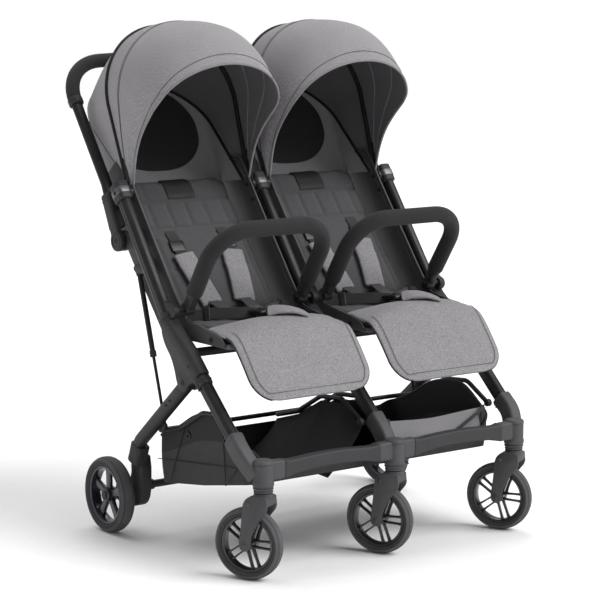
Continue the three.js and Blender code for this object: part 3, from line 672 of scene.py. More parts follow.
@dataclass(frozen=True)
class Plain:
    """Smooth moulded, painted or foamed stuff, with a grain and slow changes of tone and gloss.

    Attributes:
        name: the finish's name.
        dark: the colour where it is darker.
        light: the colour where it is lighter.
        rough: its lowest and highest roughness.
        grain: the size of the grain, in metres.
        depth: the depth of the grain, in metres.
        metal: 1 for bare metal.
        coat: the weight of a glossy coat.
        sheen: how much a nap catches the light.
        pull: how much finer the grain is along x, y and z.
    """

    name: str
    dark: tuple
    light: tuple
    rough: tuple[float, float] = (0.45, 0.6)
    grain: float = 0.0008
    depth: float = 0.00006
    metal: float = 0.0
    coat: float = 0.0
    sheen: float = 0.0
    pull: tuple[float, float, float] = (1.0, 1.0, 1.0)

    def make(self) -> bpy.types.Material:
        """Builds the material."""
        wires = Wires(self.name, self.metal, self.rough[0], self.sheen, self.coat, 0.5 if self.coat else 0.3)
        where = wires.place(False)
        grain = wires.noise(wires.place(False, self.pull), self.grain, 4.0)
        cloud = wires.noise(where, 0.035, 3.0)
        share = wires.sum(wires.span(cloud, 0.3, 0.7, (0.0, 0.6)), wires.span(grain, 0.3, 0.7, (0.0, 0.4)))
        wires.tint(share, self.dark, self.light)
        wires.roughen(cloud, *self.rough)
        wires.emboss(grain, self.depth)
        return wires.material


@dataclass(frozen=True)
class Netting:
    """Knitted mesh: rows of small holes, each row half a pitch along from the last.

    Attributes:
        name: the finish's name.
        hole: the colour in the holes.
        cord: the colour of the cords between them.
        pitch: how far apart the holes are, in metres.
        flat: whether the holes follow the piece's own flat map.
    """

    name: str
    hole: tuple
    cord: tuple
    pitch: float = 0.0026
    flat: bool = True

    def make(self) -> bpy.types.Material:
        """Builds the material."""
        wires = Wires(self.name, 0.0, 0.85, 0.1)
        where = wires.place(self.flat, turn=(0.0, 0.0, 45.0))
        rows = wires.ribs(where, self.pitch, "X")
        lines = wires.ribs(where, self.pitch, "Y")
        cords = wires.span(wires.sum(rows, lines, "MAXIMUM"), 0.45, 0.85)
        drift = wires.noise(wires.place(self.flat), 0.02, 2.0)
        wires.tint(wires.sum(cords, wires.span(drift, 0.3, 0.7, (0.7, 1.0)), "MULTIPLY"), self.hole, self.cord)
        wires.emboss(cords, 0.0004)
        return wires.material


@dataclass(frozen=True)
class Webbing:
    """Woven strap: fine ribs across it and a raised selvedge rhythm along it.

    Attributes:
        name: the finish's name.
        dark: the colour between the ribs.
        light: the colour on the ribs.
        pitch: how far apart the ribs are, in metres.
    """

    name: str
    dark: tuple
    light: tuple
    pitch: float = 0.0016

    def make(self) -> bpy.types.Material:
        """Builds the material."""
        wires = Wires(self.name, 0.0, 0.75, 0.2)
        where = wires.place(True)
        ribs = wires.ribs(where, self.pitch, "Y")
        lines = wires.ribs(where, self.pitch * 2.4, "X")
        weave = wires.sum(ribs, wires.sum(lines, 0.6, "MULTIPLY"))
        worn = wires.noise(where, 0.01, 3.0)
        wires.tint(wires.sum(wires.span(weave, 0.0, 1.6, (0.0, 0.7)), wires.span(worn, 0.3, 0.7, (0.0, 0.3))),
                   self.dark, self.light)
        wires.emboss(weave, 0.0003)
        return wires.material


BLACK_TUBE = Plain("anodised_tube", grey(30), grey(42), (0.34, 0.46), 0.0006, 0.00002, 0.25,
                   pull=(3.0, 1.0, 1.0))
JOINT = Plain("joint_nylon", grey(36), grey(50), (0.48, 0.6), 0.0007, 0.00005)
CASTER = Plain("caster_nylon", grey(64), grey(78), (0.5, 0.62), 0.0007, 0.00006)
CROSSBAR = Plain("crossbar_nylon", grey(46), grey(58), (0.5, 0.62), 0.0007, 0.00006)
STEEL = Plain("dark_steel", linear(66, 66, 69), linear(96, 96, 99), (0.28, 0.42), 0.0004, 0.00001, 1.0)
STRAP_METAL = Plain("brushed_strap", linear(78, 78, 81), linear(118, 118, 121), (0.34, 0.48), 0.0005, 0.00002, 0.8,
                    pull=(0.2, 1.0, 1.0))
RIM = Plain("gloss_rim", linear(22, 22, 25), linear(32, 32, 36), (0.18, 0.3), 0.0012, 0.00001, coat=0.4)
REAR_RIM = Plain("blue_black_rim", linear(19, 21, 31), linear(30, 32, 44), (0.18, 0.3), 0.0012, 0.00001, coat=0.4)
TYRE = Plain("tyre_rubber", grey(54), grey(72), (0.72, 0.88), 0.0009, 0.00008)
TREAD = Plain("tyre_tread", grey(72), grey(92), (0.8, 0.92), 0.0011, 0.0001)
FOAM = Plain("foam_sleeve", grey(28), grey(40), (0.86, 0.95), 0.0011, 0.00016, sheen=0.05)
MELANGE = Weave("melange", linear(104, 102, 105), linear(172, 169, 172), flat=True, fleck=1.5)
MELANGE_PAD = Weave("melange_pad", linear(102, 100, 103), linear(162, 159, 162), lean=52.0, fleck=1.0)
LINING = Weave("lining", linear(74, 72, 75), linear(108, 105, 108), 0.0011, True, fleck=0.6)
QUILT = Weave("quilted_cloth", grey(62), grey(90), 0.0011, lean=50.0, fleck=0.6, sheen=0.1)
PATCH = Plain("plain_patch", grey(32), grey(42), (0.55, 0.7), 0.0006, 0.00004)
WING = Plain("wing_cloth", linear(48, 44, 47), linear(62, 58, 61), (0.6, 0.72), 0.0009, 0.00006, sheen=0.08)
PIPING = Plain("piping", linear(112, 110, 113), linear(140, 138, 141), (0.8, 0.9), 0.0007, 0.0001, sheen=0.1)
DARK_PIPING = Plain("dark_piping", grey(30), grey(44), (0.7, 0.85), 0.0007, 0.0001, sheen=0.05)
BLACK_CORD = Plain("black_cord", grey(16), grey(28), (0.6, 0.75), 0.0007, 0.0001)
THREAD = Plain("sewing_thread", linear(74, 72, 75), linear(100, 98, 101), (0.75, 0.9), 0.0005, 0.0001)
WINDOW = Netting("window_mesh", grey(12), linear(44, 43, 46), 0.0024)
BASKET_MESH = Netting("basket_mesh", grey(20), grey(66), 0.003)
BASKET_CLOTH = Weave("basket_cloth", grey(36), grey(60), 0.0012, True, fleck=0.6, sheen=0.05)
BASKET_LINER = Weave("basket_liner", linear(118, 116, 119), linear(152, 150, 153), 0.0014, True)
STRAP = Webbing("harness_webbing", grey(18), grey(40))
GLOSS = Plain("buckle_plastic", grey(20), grey(30), (0.28, 0.4), 0.0009, 0.00003)


@dataclass
class Bench:
    """Where pieces are finished: it turns a shape into an object, gives it its finishes and fixes it to a body.

    Attributes:
        datum: how far the frame's origin is from the maker's, along y, in metres.
        made: the materials made so far, by finish.
    """

    datum: float
    made: dict = field(default_factory=dict)

    def metres(self, points: np.ndarray) -> np.ndarray:
        """The maker's millimetres as the frame's metres."""
        return np.asarray(points, float) * MM + np.array([0.0, self.datum, 0.0])

    def finish(self, finish) -> bpy.types.Material:
        """A finish's material, made once."""
        if finish not in self.made:
            self.made[finish] = finish.make()
        return self.made[finish]

    def mesh(self, name: str, shape: Shape, crease: float = 38.0) -> bpy.types.Object:
        """A shape as an object at the origin, its faces pointing out, smooth up to an angle of crease degrees."""
        data = bpy.data.meshes.new(name)
        faces = shape.quads.tolist() + [cap.tolist() for cap in shape.caps]
        data.from_pydata(self.metres(shape.points).tolist(), [], faces)
        corners = np.zeros(len(data.loops), np.int32)
        data.loops.foreach_get("vertex_index", corners)
        cut = data.uv_layers.new(name="Cut")
        cut.data.foreach_set("uv", shape.flat[corners].astype(np.float32).ravel())
        marks = np.concatenate([shape.marks, np.array(shape.cap_marks, int)]).astype(np.int32)
        data.polygons.foreach_set("material_index", marks)
        solid = bmesh.new()
        solid.from_mesh(data)
        bmesh.ops.remove_doubles(solid, verts=solid.verts, dist=1e-6)
        bmesh.ops.recalc_face_normals(solid, faces=solid.faces)
        solid.to_mesh(data)
        solid.free()
        data.shade_smooth()
        data.set_sharp_from_angle(angle=math.radians(crease))
        piece = bpy.data.objects.new(name, data)
        bpy.context.scene.collection.objects.link(piece)
        return piece

    def dress(self, piece: bpy.types.Object, finishes: list, body: str | None, slot: Slot | None,
              replaces: tuple = ()) -> bpy.types.Object:
        """Gives an object its finishes and its body, and hides the CAD nodes it stands for.

        Args:
            piece: the object.
            finishes: its finishes, in the order of the shape's marks.
            body: the body it rides on, or None to leave it on no body.
            slot: the record's material slot, or None; not used.
            replaces: the CAD nodes it stands for.

        Returns:
            The object.
        """
        for finish in finishes[len(piece.data.materials):]:
            piece.data.materials.append(self.finish(finish))
        if body:
            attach(piece, body)
        if replaces:
            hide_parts(*replaces)
        LOG.info("%s: %d faces on %s", piece.name, len(piece.data.polygons), body or "two bodies")
        return piece

    def fit(self, name: str, shape: Shape, finishes: list, body: str | None, slot: Slot | None = None,
            replaces: tuple = (), crease: float = 38.0) -> bpy.types.Object:
        """Makes an object of a shape and dresses it: mesh(), then dress()."""
        return self.dress(self.mesh(name, shape, crease), finishes, body, slot, replaces)


# ------------------------------------------------------------------------------------ front frame
@dataclass
class FrontFrame:
    """The three side frames: legs, seat tubes, castings, canopy clamps, caster housings and crossbars."""

    bench: Bench
    tube_width: float = 24.0
    tube_height: float = 30.0
    casting: tuple[float, float] = (31.0, 38.0)
    caster_y: float = -407.0
    housing_radius: float = 20.0
    housing_top: float = 239.0
    housing_foot: float = 176.0
    crossbar_z: float = 217.0

    def leg(self, x: float) -> Shape:
        """The front leg: a straight grooved tube from the casting to the caster housing, with a ribbed sleeve."""
        reach = gap(HIP, LEG_FOOT)
        leg = tube(line(x, along(HIP, LEG_FOOT, 26), along(HIP, LEG_FOOT, reach)),
                   grooved(self.tube_width, self.tube_height), soft=0)
        cuff = tube(line(x, along(HIP, LEG_FOOT, 66), along(HIP, LEG_FOOT, 84)),
                    oval(self.tube_width + 4, self.tube_height + 4, 3), soft=1.5)
        rib = tube(line(x, along(HIP, LEG_FOOT, 73), along(HIP, LEG_FOOT, 76)),
                   oval(self.tube_width + 6, self.tube_height + 6, 3), soft=1)
        return leg + cuff.marked(1) + rib.marked(1)

    def seat_tube(self, x: float, side: int) -> Shape:
        """The grooved seat tube; at the sides with the handle's knuckle arm and the fold link's lug."""
        reach = gap(KNEE, CLAMP)
        body = tube(line(x, along(KNEE, CLAMP, -8), along(KNEE, CLAMP, reach + 16)),
                    grooved(self.tube_width, self.tube_height), soft=1.5)
        if not side:
            return body
        near = along(KNEE, CLAMP, 0.63 * reach)
        inner = band(x - side * 12, x - side)
        arm = [(near[0], near[1] + 14), (near[0] + 6, near[1] - 14), (KNUCKLE[0] - 4, KNUCKLE[1] - 21),
               (KNUCKLE[0] + 12, KNUCKLE[1] - 8), (KNUCKLE[0] + 8, KNUCKLE[1] + 18), (KNUCKLE[0] - 12, KNUCKLE[1] + 20)]
        lug = band(x - side * 12, x - side * 8)
        plate = [(-34, 590), (-46, 556), (26, 554), (37, 563), (26, 572)]
        extra = (slab(arm, *inner, corner=9, bevel=2) + peg(21.5, *inner, KNUCKLE, 2.0)
                 + slab(plate, *lug, corner=5) + peg(5, *band(x - side * 2, x + side * 12.5), KNUCKLE)
                 + screw(x - side * 12, (28, 563), -side, 4.0))
        return body + extra.marked(1)

    def leg_casting(self, x: float, side: int) -> Shape:
        """The casting where seat tube, front leg and rear leg meet: a swelling spine with webs drawn in between them.
        """
        path = rounded(line(x, along(KNEE, CLAMP, 24), KNEE, HIP, along(HIP, LEG_FOOT, 62)), 90, 8)
        share = spans(path) / spans(path)[-1]
        swell = 1 + 0.05 * np.exp(-((share - 0.55) / 0.2) ** 2)
        body = tube(path, oval(*self.casting, 3.2, 36), scale=swell, soft=2.2)
        for place in (8.0, 14.0):
            here = along(KNEE, CLAMP, place)
            there = along(KNEE, CLAMP, place + 3)
            body = body + tube(line(x, here, there), oval(self.casting[0] + 1.6, self.casting[1] + 1.6, 3.2, 36),
                               soft=0.9)
        ear = [(-104, 478), (-84, 506), (-104, 512), (-126, 511), (-142, 504), (-146, 492), (-138, 482)]
        body = body + slab(ear, x - 7, x + 7, 9, 2)
        reach = 43.8
        ends = band(x, x - side * reach) if side else (-reach, reach)
        body = body + peg(4.5, *ends, BUMPER_PIVOT)
        if side:
            web = curve([(-246, 352), (-224, 364), (-204, 356), (-196, 346), (-183, 341), (-170, 346), (-161, 360),
                         (-154, 380), (-141, 404), (-118, 430), (-108, 456), (-130, 468), (-170, 440), (-230, 386)], 56)
            for low, high in ((-15, -11.5), (11.5, 15)):
                body = body + slab(web.tolist(), x + low, x + high, 1, 1.2)
            body = body + peg(4, x - 14, x + 14, FOLD_PIVOT) + screw(x + side * 15, FOLD_PIVOT, side, 6.5)
            body = body + screw(x - side * 15, FOLD_PIVOT, -side, 6.5)
            body = body + screw(x + side * 15.4, (-118, 478), side, 4.2) + screw(x + side * 15.4, (-206, 395), side,
                                                                                 4.2)
        else:
            body = body + peg(9, -329.5, 329.5, (-165, 413), 1.5)
        return body

    def clamp(self, x: float, side: int) -> Shape:
        """The block at the seat tube's head: a bright strap round the canopies' pins under a dark cap."""
        reach = gap(KNEE, CLAMP)
        body = tube(line(x, along(KNEE, CLAMP, reach - 20), along(KNEE, CLAMP, reach + 22)),
                    oval(30, 38, 4, 36), soft=3)
        strap = tube(line(x, along(KNEE, CLAMP, reach - 7), along(KNEE, CLAMP, reach + 7)),
                     oval(31.4, 39.4, 4, 36), soft=0.6)
        ends = band(x, x - side * 23) if side else (-23.0, 23.0)
        body = body + peg(8, *ends, CLAMP, 1.5) + strap.marked(1)
        for end in ends if not side else (x - side * 15,):
            away = math.copysign(1, end) if not side else -side
            body = body + peg(11, *band(end, end - 5 * away), CLAMP, 1.0).marked(1)
        return body + screw(x + (side or 1) * 15.6, CLAMP, side or 1, 5)

    def housing(self, x: float, frame_x: float, ears: tuple[int, ...]) -> Shape:
        """The caster housing: a capped drum over a ribbed collar, the leg's flat sleeve, and the crossbars' ears."""
        top, foot, radius = self.housing_top, self.housing_foot, self.housing_radius
        profile = [(0, foot), (18, foot), (19, foot + 1), (19, foot + 3), (17.8, foot + 4), (17.8, foot + 6),
                   (20.2, foot + 7), (20.2, foot + 9), (18.6, foot + 10), (18.6, foot + 12), (21, foot + 13),
                   (21.2, foot + 20), (radius, foot + 22), (radius, top - 9), (radius - 0.8, top - 8),
                   (radius + 0.6, top - 7), (radius + 0.6, top - 4), (radius - 1, top - 1.2), (radius - 4, top + 0.4),
                   (radius - 9, top + 1.4), (0, top + 1.8)]
        body = turned(profile, 2, (x, self.caster_y, 0), 48)
        down = gap(HIP, LEG_FOOT)
        sleeve = line(frame_x, along(HIP, LEG_FOOT, down - 50), along(HIP, LEG_FOOT, down - 8))
        path = curve(sleeve + [(x + (frame_x - x) * 0.3, self.caster_y + 10, top - 34)], 14)
        body = body + tube(path, oval(30, 38, 4.5, 36), soft=2.5)
        for rib in (6.0, 12.0):
            place = down - 50 + rib
            body = body + tube(line(frame_x, along(HIP, LEG_FOOT, place), along(HIP, LEG_FOOT, place + 2.4)),
                               oval(31.6, 39.6, 4.5, 36), soft=0.8)
        for side in ears:
            share = np.array([0.0, 0.45, 0.75, 1.0])
            path = np.column_stack([x + side * (4 + share * (radius + 26)), np.full(4, self.caster_y),
                                    np.full(4, self.crossbar_z)])
            scale = np.column_stack([1.12 - 0.12 * share, 1.16 - 0.1 * share])
            body = body + tube(path, oval(24, 34, 6, 36), (0, 1, 0), scale, 1.0)
        return body

    def crossbar(self, side: int) -> Shape:
        """The crossbar between two casters: a box beam with a low arch, deeper towards its ends, seamed near them."""
        start, end = side * (self.housing_radius + 24), side * (CASTER_PITCH - self.housing_radius - 24)
        share = np.linspace(0, 1, 41)
        rise = 8 * np.maximum(0, 4 * share * (1 - share) - 0.2256)
        path = np.column_stack([start + (end - start) * share, np.full(41, self.caster_y), self.crossbar_z + rise])
        near = np.exp(-np.minimum(share, 1 - share) / 0.07)
        seam = 0.04 * np.exp(-((np.minimum(share, 1 - share) - 0.12) / 0.006) ** 2)
        scale = np.column_stack([0.97 + 0.14 * near - seam, 0.8 + 0.3 * near - seam])
        return tube(path, oval(24, 34, 7, 44), (0, 1, 0), scale, 0.8)

    def build(self) -> None:
        """Builds every piece of the three side frames."""
        for name, side in FRAMES.items():
            x = side * FRAME_PITCH
            body = Body.FRONT.of()
            self.bench.fit(f"leg_{name}", self.leg(x), [BLACK_TUBE, JOINT], body, Slot.TUBE, (f"front_leg_{name}",))
            self.bench.fit(f"upright_{name}", self.seat_tube(x, side), [BLACK_TUBE, JOINT], body, Slot.TUBE,
                           (f"seat_tube_{name}",))
            self.bench.fit(f"casting_{name}", self.leg_casting(x, side), [JOINT], body, Slot.JOINT,
                           (f"leg_casting_{name}",))
            self.bench.fit(f"clamp_{name}", self.clamp(x, side), [JOINT, STRAP_METAL], body, Slot.JOINT,
                           (f"canopy_clamp_{name}",))
            ears = (-side,) if side else (-1, 1)
            self.bench.fit(f"housing_{name}", self.housing(side * CASTER_PITCH, x, ears), [CASTER], body, Slot.CASTER,
                           (f"caster_housing_{name}",))
        for name, side in SIDES.items():
            self.bench.fit(f"crossbar_{name}", self.crossbar(side), [CROSSBAR], Body.FRONT.of(), Slot.CASTER,
                           (f"front_crossbar_{name}",), crease=30)


# ------------------------------------------------------------------------------------ wheels
@dataclass
class Wheel:
    """A wheel about the x axis at the origin: a tyre with a paler tread band, a rim ring, a hub and spokes."""

    radius: float
    width: float
    rim: float
    bore: float

    def tyre(self) -> Shape:
        """The tyre: a closed profile with a rounded tread, two sidewall ridges and a groove either side of the tread.
        """
        r, w, seat = self.radius, self.width / 2, self.rim + 0.3
        half = [(seat, w - 4), (seat + 2.5, w - 2.2), (seat + 4, w - 0.6), (seat + 5.2, w - 1.4), (r - 7.5, w - 0.4),
                (r - 6.2, w + 0.0), (r - 5, w - 0.9), (r - 2.4, w * 0.72), (r - 1.6, w * 0.6), (r - 1.9, w * 0.52),
                (r - 0.5, w * 0.44), (r, w * 0.2)]
        profile = half + [(a, -b) for a, b in half[::-1]]
        made = turned(profile, 0, count=96, loop=True)
        rows = np.repeat(np.arange(len(profile)), 96)
        pale = (4, 5, 6, 9, 10, 11, 12, 13, 16, 17, 18)
        made.marks = np.isin(rows, pale).astype(int)
        return made

    def ring(self) -> Shape:
        """The rim: a ring with a lipped edge on both sides."""
        w, outer = self.width / 2 - 4.2, self.rim
        half = [(outer - 6.5, w * 0.55), (outer - 5.5, w - 1.2), (outer - 4, w - 0.2), (outer - 1.2, w), (outer, w - 1)]
        return turned(half + [(a, -b) for a, b in half[::-1]], 0, count=96, loop=True)

    def hub(self, radius: float, reach: float) -> Shape:
        """The hub: a stepped barrel with a dished cap on each side."""
        half = [(self.bore * 0.4, reach - 1.4), (self.bore, reach - 1.0), (self.bore + 1.2, reach + 0.2),
                (radius - 3.5, reach), (radius - 1.2, reach - 0.8), (radius, reach - 2.6), (radius, reach * 0.4),
                (radius - 1.4, reach * 0.3)]
        return turned([(0, reach - 1.4)] + half + [(a, -b) for a, b in half[::-1]] + [(0, 1.4 - reach)], 0, count=40)

    def spoke(self, start: float, widths: tuple, depths: tuple, aside: float = 0.0) -> Shape:
        """One spoke up from the hub: a rounded bar whose width and depth run through the given values."""
        count = len(widths)
        path = np.column_stack([np.zeros(count), np.full(count, aside), np.linspace(start, self.rim - 2.5, count)])
        scale = np.column_stack([np.array(depths) / 10, np.array(widths) / 10])
        return tube(path, oval(10, 10, 3.5, 16), scale=scale, soft=0.5)


@dataclass
class Casters:
    """The three front casters: a fork that swivels and a spoked wheel in it."""

    bench: Bench
    y: float = -407.0
    turn: float = 27.2
    trail: float = 31.0
    hub_z: float = 71.5
    wheel: Wheel = field(default_factory=lambda: Wheel(71.5, 29.0, 56.0, 4.3))

    def fork(self) -> Shape:
        """The fork: two tapering blades that trail the swivel, a rounded block between their heads, and the bolts."""
        trail, hub = self.trail, self.hub_z
        blade = curve([(-17, 168), (2, 171), (19, 169), (30, 160), (35, 147), (36, 134), (38, 110), (41, 88),
                       (42.5, 74), (40, 64), (31, 59.5), (22.5, 63), (19.5, 72), (15, 90), (5, 112), (-8, 130),
                       (-17, 142), (-20, 156)], 72)
        blade = blade[:-2].tolist()
        body = slab(blade, -22.6, -17.2, 1, 1.6) + slab(blade, 17.2, 22.6, 1, 1.6)
        crown = [(-18, 150), (-18, 166), (-12, 170.5), (10, 171), (22, 168), (30, 160), (33, 151), (30, 145), (4, 146)]
        body = body + slab(crown, -22.0, 22.0, 6, 2.4)
        body = body + post(18.5, 166, 174.5, 0, 0, 1.2) + post(8, 166, 221.5, 0, 0)
        body = body + peg(4.0, -22, 22, (trail, hub))
        for side in (-1, 1):
            body = body + peg(7.2, *band(side * 20, side * 23.6), (trail, hub), 1.0)
            body = body + screw(side * 23.6, (trail, hub), side, 4.6, 1.4).marked(1)
            body = body + screw(side * 22.6, (23, 155), side, 5.0, 1.4).marked(1)
        return body

    def rim(self) -> Shape:
        """The rim with five pairs of thin spokes."""
        body = self.wheel.ring() + self.wheel.hub(12.5, 15.6)
        for i in range(5):
            for aside in (-5.6, 5.6):
                spoke = self.wheel.spoke(7, (5.2, 4.2, 3.9, 4.4, 6.5), (13, 11, 9.5, 9, 12), aside)
                lean = -math.copysign(2.2, aside)
                body = body + spoke.turned(0, lean).turned(0, i * 72 + 18)
        return body

    def build(self) -> None:
        """Builds the three casters, each at its place and turned as it stands."""
        cos, sin = math.cos(math.radians(self.turn)), math.sin(math.radians(self.turn))
        for name, side in FRAMES.items():
            x = side * CASTER_PITCH
            hub = (x - self.trail * sin, self.y + self.trail * cos, self.hub_z)
            fork = self.fork().turned(2, self.turn).moved(x, self.y)
            self.bench.fit(f"fork_{name}", fork, [CASTER, STEEL], Body.CASTER.of(name), Slot.CASTER,
                           (f"caster_fork_{name}",), crease=34)
            rim = self.rim().turned(2, self.turn).moved(*hub)
            self.bench.fit(f"caster_rim_{name}", rim, [RIM], Body.FRONT_WHEEL.of(name), Slot.RIM,
                           (f"front_rim_{name}",))
            tyre = self.wheel.tyre().turned(2, self.turn).moved(*hub)
            self.bench.fit(f"caster_tyre_{name}", tyre, [TYRE, TREAD], Body.FRONT_WHEEL.of(name), Slot.TYRE,
                           (f"front_tyre_{name}",))


# ------------------------------------------------------------------------------------ rear frame
@dataclass
class RearFrame:
    """The rear legs, the axle with its brackets, the wheels, the brake pedal and the fold links."""

    bench: Bench
    hub: tuple[float, float] = (89.0, 80.0)
    wheel_x: float = 368.0
    bend: tuple[float, float] = (3.0, 205.0)
    low: tuple[float, float] = (14.0, 176.0)
    bar: tuple[float, float] = (32.0, 103.0)
    pedal: tuple[float, float] = (66.0, 110.0)
    link_top: tuple[float, float] = (28.0, 563.0)
    link_foot: tuple[float, float] = (-70.0, 241.0)
    wheel: Wheel = field(default_factory=lambda: Wheel(80.0, 33.0, 62.0, 6.3))

    def leg(self, x: float, side: int) -> Shape:
        """The rear leg: a flat oval tube from its eye at the fold pivot, bent down into the axle bracket."""
        path = rounded(line(x, along(FOLD_PIVOT, self.bend, 4), along(FOLD_PIVOT, self.bend, 40), self.bend, self.low),
                       40, 8)
        share = spans(path) / spans(path)[-1]
        scale = np.column_stack([np.ones(len(path)), 1.06 - 0.1 * ease(share * 2) + 0.04 * ease(share * 2 - 1)])
        body = tube(path, oval(22, 28, 3, 36), scale=scale, soft=1.5) + peg(13.8, x - 11, x + 11, FOLD_PIVOT, 1.5)
        y, z = self.link_foot
        lug = band(x - side * 11, x - side * 7)
        plate = [(y - 16, z + 22), (y - 7, z - 3), (y, z - 6.5), (y + 7, z - 3), (y + 16, z + 6)]
        cuffs = slab(plate, *lug, corner=4) + screw(x - side * 11, self.link_foot, -side, 4)
        for place in (70.0, 88.0):
            here = along(FOLD_PIVOT, self.bend, place)
            cuffs = cuffs + screw(x + side * 11.2, here, side, 3.2)
        return body + cuffs.marked(1)

    def axle(self) -> Shape:
        """The axle: a hooked bracket at each side, the tube that joins them, the wheels' stubs and the pedal's pin."""
        body = tube([(-323, *self.bar), (323, *self.bar)], oval(16, count=28), (0, 1, 0), soft=1.5)
        arm = curve([(4, 172), (22, 176), (38, 168), (44, 150), (44, 132), (52, 116), (70, 107), (92, 103), (106, 94),
                     (109, 78), (103, 64), (88, 58), (66, 57), (40, 60), (18, 68), (6, 84), (1, 106), (0, 130),
                     (0, 156)], 72)[:-1].tolist()
        for side in SIDES.values():
            x = side * FRAME_PITCH
            inner, outer = side * 318, side * 343
            body = body + slab(arm, *band(inner, outer), corner=1, bevel=3)
            sunk = slab([(12, 92), (12, 150), (34, 158), (36, 128), (46, 108), (86, 92), (88, 72), (40, 72)],
                        *band(outer - side * 2, outer + side * 1.2), corner=12, bevel=1)
            socket = tube(line(x - side * 3, along(self.bend, self.low, 6), (21, 158)), oval(31, 37, 4, 36), soft=2.5)
            stub = peg(6.0, *band(side * 341, side * (self.wheel_x + 14.5)), self.hub)
            cap = peg(10, *band(side * (self.wheel_x + 12.2), side * (self.wheel_x + 15)), self.hub, 1.2)
            collar = tube([(side * 296, *self.bar), (side * 316, *self.bar)], oval(22, count=28), (0, 1, 0), soft=2)
            body = body + sunk + socket + stub + cap + collar
            body = body + screw(outer, (52, 90), side, 4.6).marked(1) + screw(inner, (20, 150), -side, 4.6).marked(1)
        return body + peg(4, 264, 320, self.pedal)

    def rim(self) -> Shape:
        """The rear rim with five broad blades, pinched at the middle."""
        body = self.wheel.ring() + self.wheel.hub(15.5, 12.6)
        for i in range(5):
            blade = self.wheel.spoke(8, (15, 15.5, 17, 20, 25), (12, 10.5, 9, 9, 12))
            body = body + blade.turned(0, i * 72)
        return body

    def brake(self) -> Shape:
        """The brake pedal: a ribbed tread on a boss."""
        y, z = self.pedal
        low, high = 272.0, 314.0
        body = slab([(y - 4, z - 2), (y - 2, z + 8), (y + 48, z + 16), (y + 49, z + 11), (y + 8, z + 1)], low, high,
                    2.5, 2.5)
        for k in range(4):
            at_y = y + 16 + 9 * k
            body = body + tube([(low + 5, at_y, z + 11.2 + 1.45 * k), (high - 5, at_y, z + 11.2 + 1.45 * k)],
                               oval(3.4, 2.4), (0, 1, 0), soft=1)
        return body + peg(8, low, high, self.pedal, 1.5)

    def build(self) -> None:
        """Builds the rear frame's pieces, its wheels and the links."""
        for name, side in SIDES.items():
            x = side * FRAME_PITCH
            self.bench.fit(f"rear_leg_tube_{name}", self.leg(x, side), [BLACK_TUBE, JOINT], Body.REAR.of(), Slot.TUBE,
                           (f"rear_leg_{name}",))
            hub = (side * self.wheel_x, *self.hub)
            self.bench.fit(f"rear_wheel_rim_{name}", self.rim().moved(*hub), [REAR_RIM], Body.REAR_WHEEL.of(name),
                           Slot.RIM, (f"rear_rim_{name}",))
            self.bench.fit(f"rear_wheel_tyre_{name}", self.wheel.tyre().moved(*hub), [TYRE, TREAD],
                           Body.REAR_WHEEL.of(name), Slot.TYRE, (f"rear_tyre_{name}",))
            at_x = side * (FRAME_PITCH - 17.5)
            top, foot = self.link_top, self.link_foot
            sleeve = tube(line(at_x, along(top, foot, 6), along(top, foot, 185)), oval(11, count=24), soft=1)
            for place, size in ((2.0, 14.5), (172.0, 14.0)):
                sleeve = sleeve + tube(line(at_x, along(top, foot, place), along(top, foot, place + 14)),
                                       oval(size, count=24), soft=2).marked(1)
            self.bench.fit(f"link_sleeve_tube_{name}", sleeve, [BLACK_TUBE, JOINT], Body.SLEEVE.of(name), Slot.TUBE,
                           (f"fold_link_sleeve_{name}",))
            reach = gap(top, foot)
            rod = tube(line(at_x, along(top, foot, 35), along(top, foot, reach)), oval(6.6, count=20), soft=1)
            eye = tube(line(at_x, along(top, foot, reach - 12), along(top, foot, reach + 2)), oval(10, count=24),
                       soft=2)
            self.bench.fit(f"link_rod_bar_{name}", rod + eye.marked(1), [BLACK_TUBE, JOINT], Body.ROD.of(name),
                           Slot.ROD,
                           (f"fold_link_rod_{name}",))
        self.bench.fit("axle_beam", self.axle(), [JOINT, STEEL], Body.REAR.of(), Slot.JOINT, ("rear_axle",), crease=34)
        self.bench.fit("brake_tread", self.brake(), [JOINT], Body.BRAKE.of(), Slot.JOINT, ("brake_pedal",))


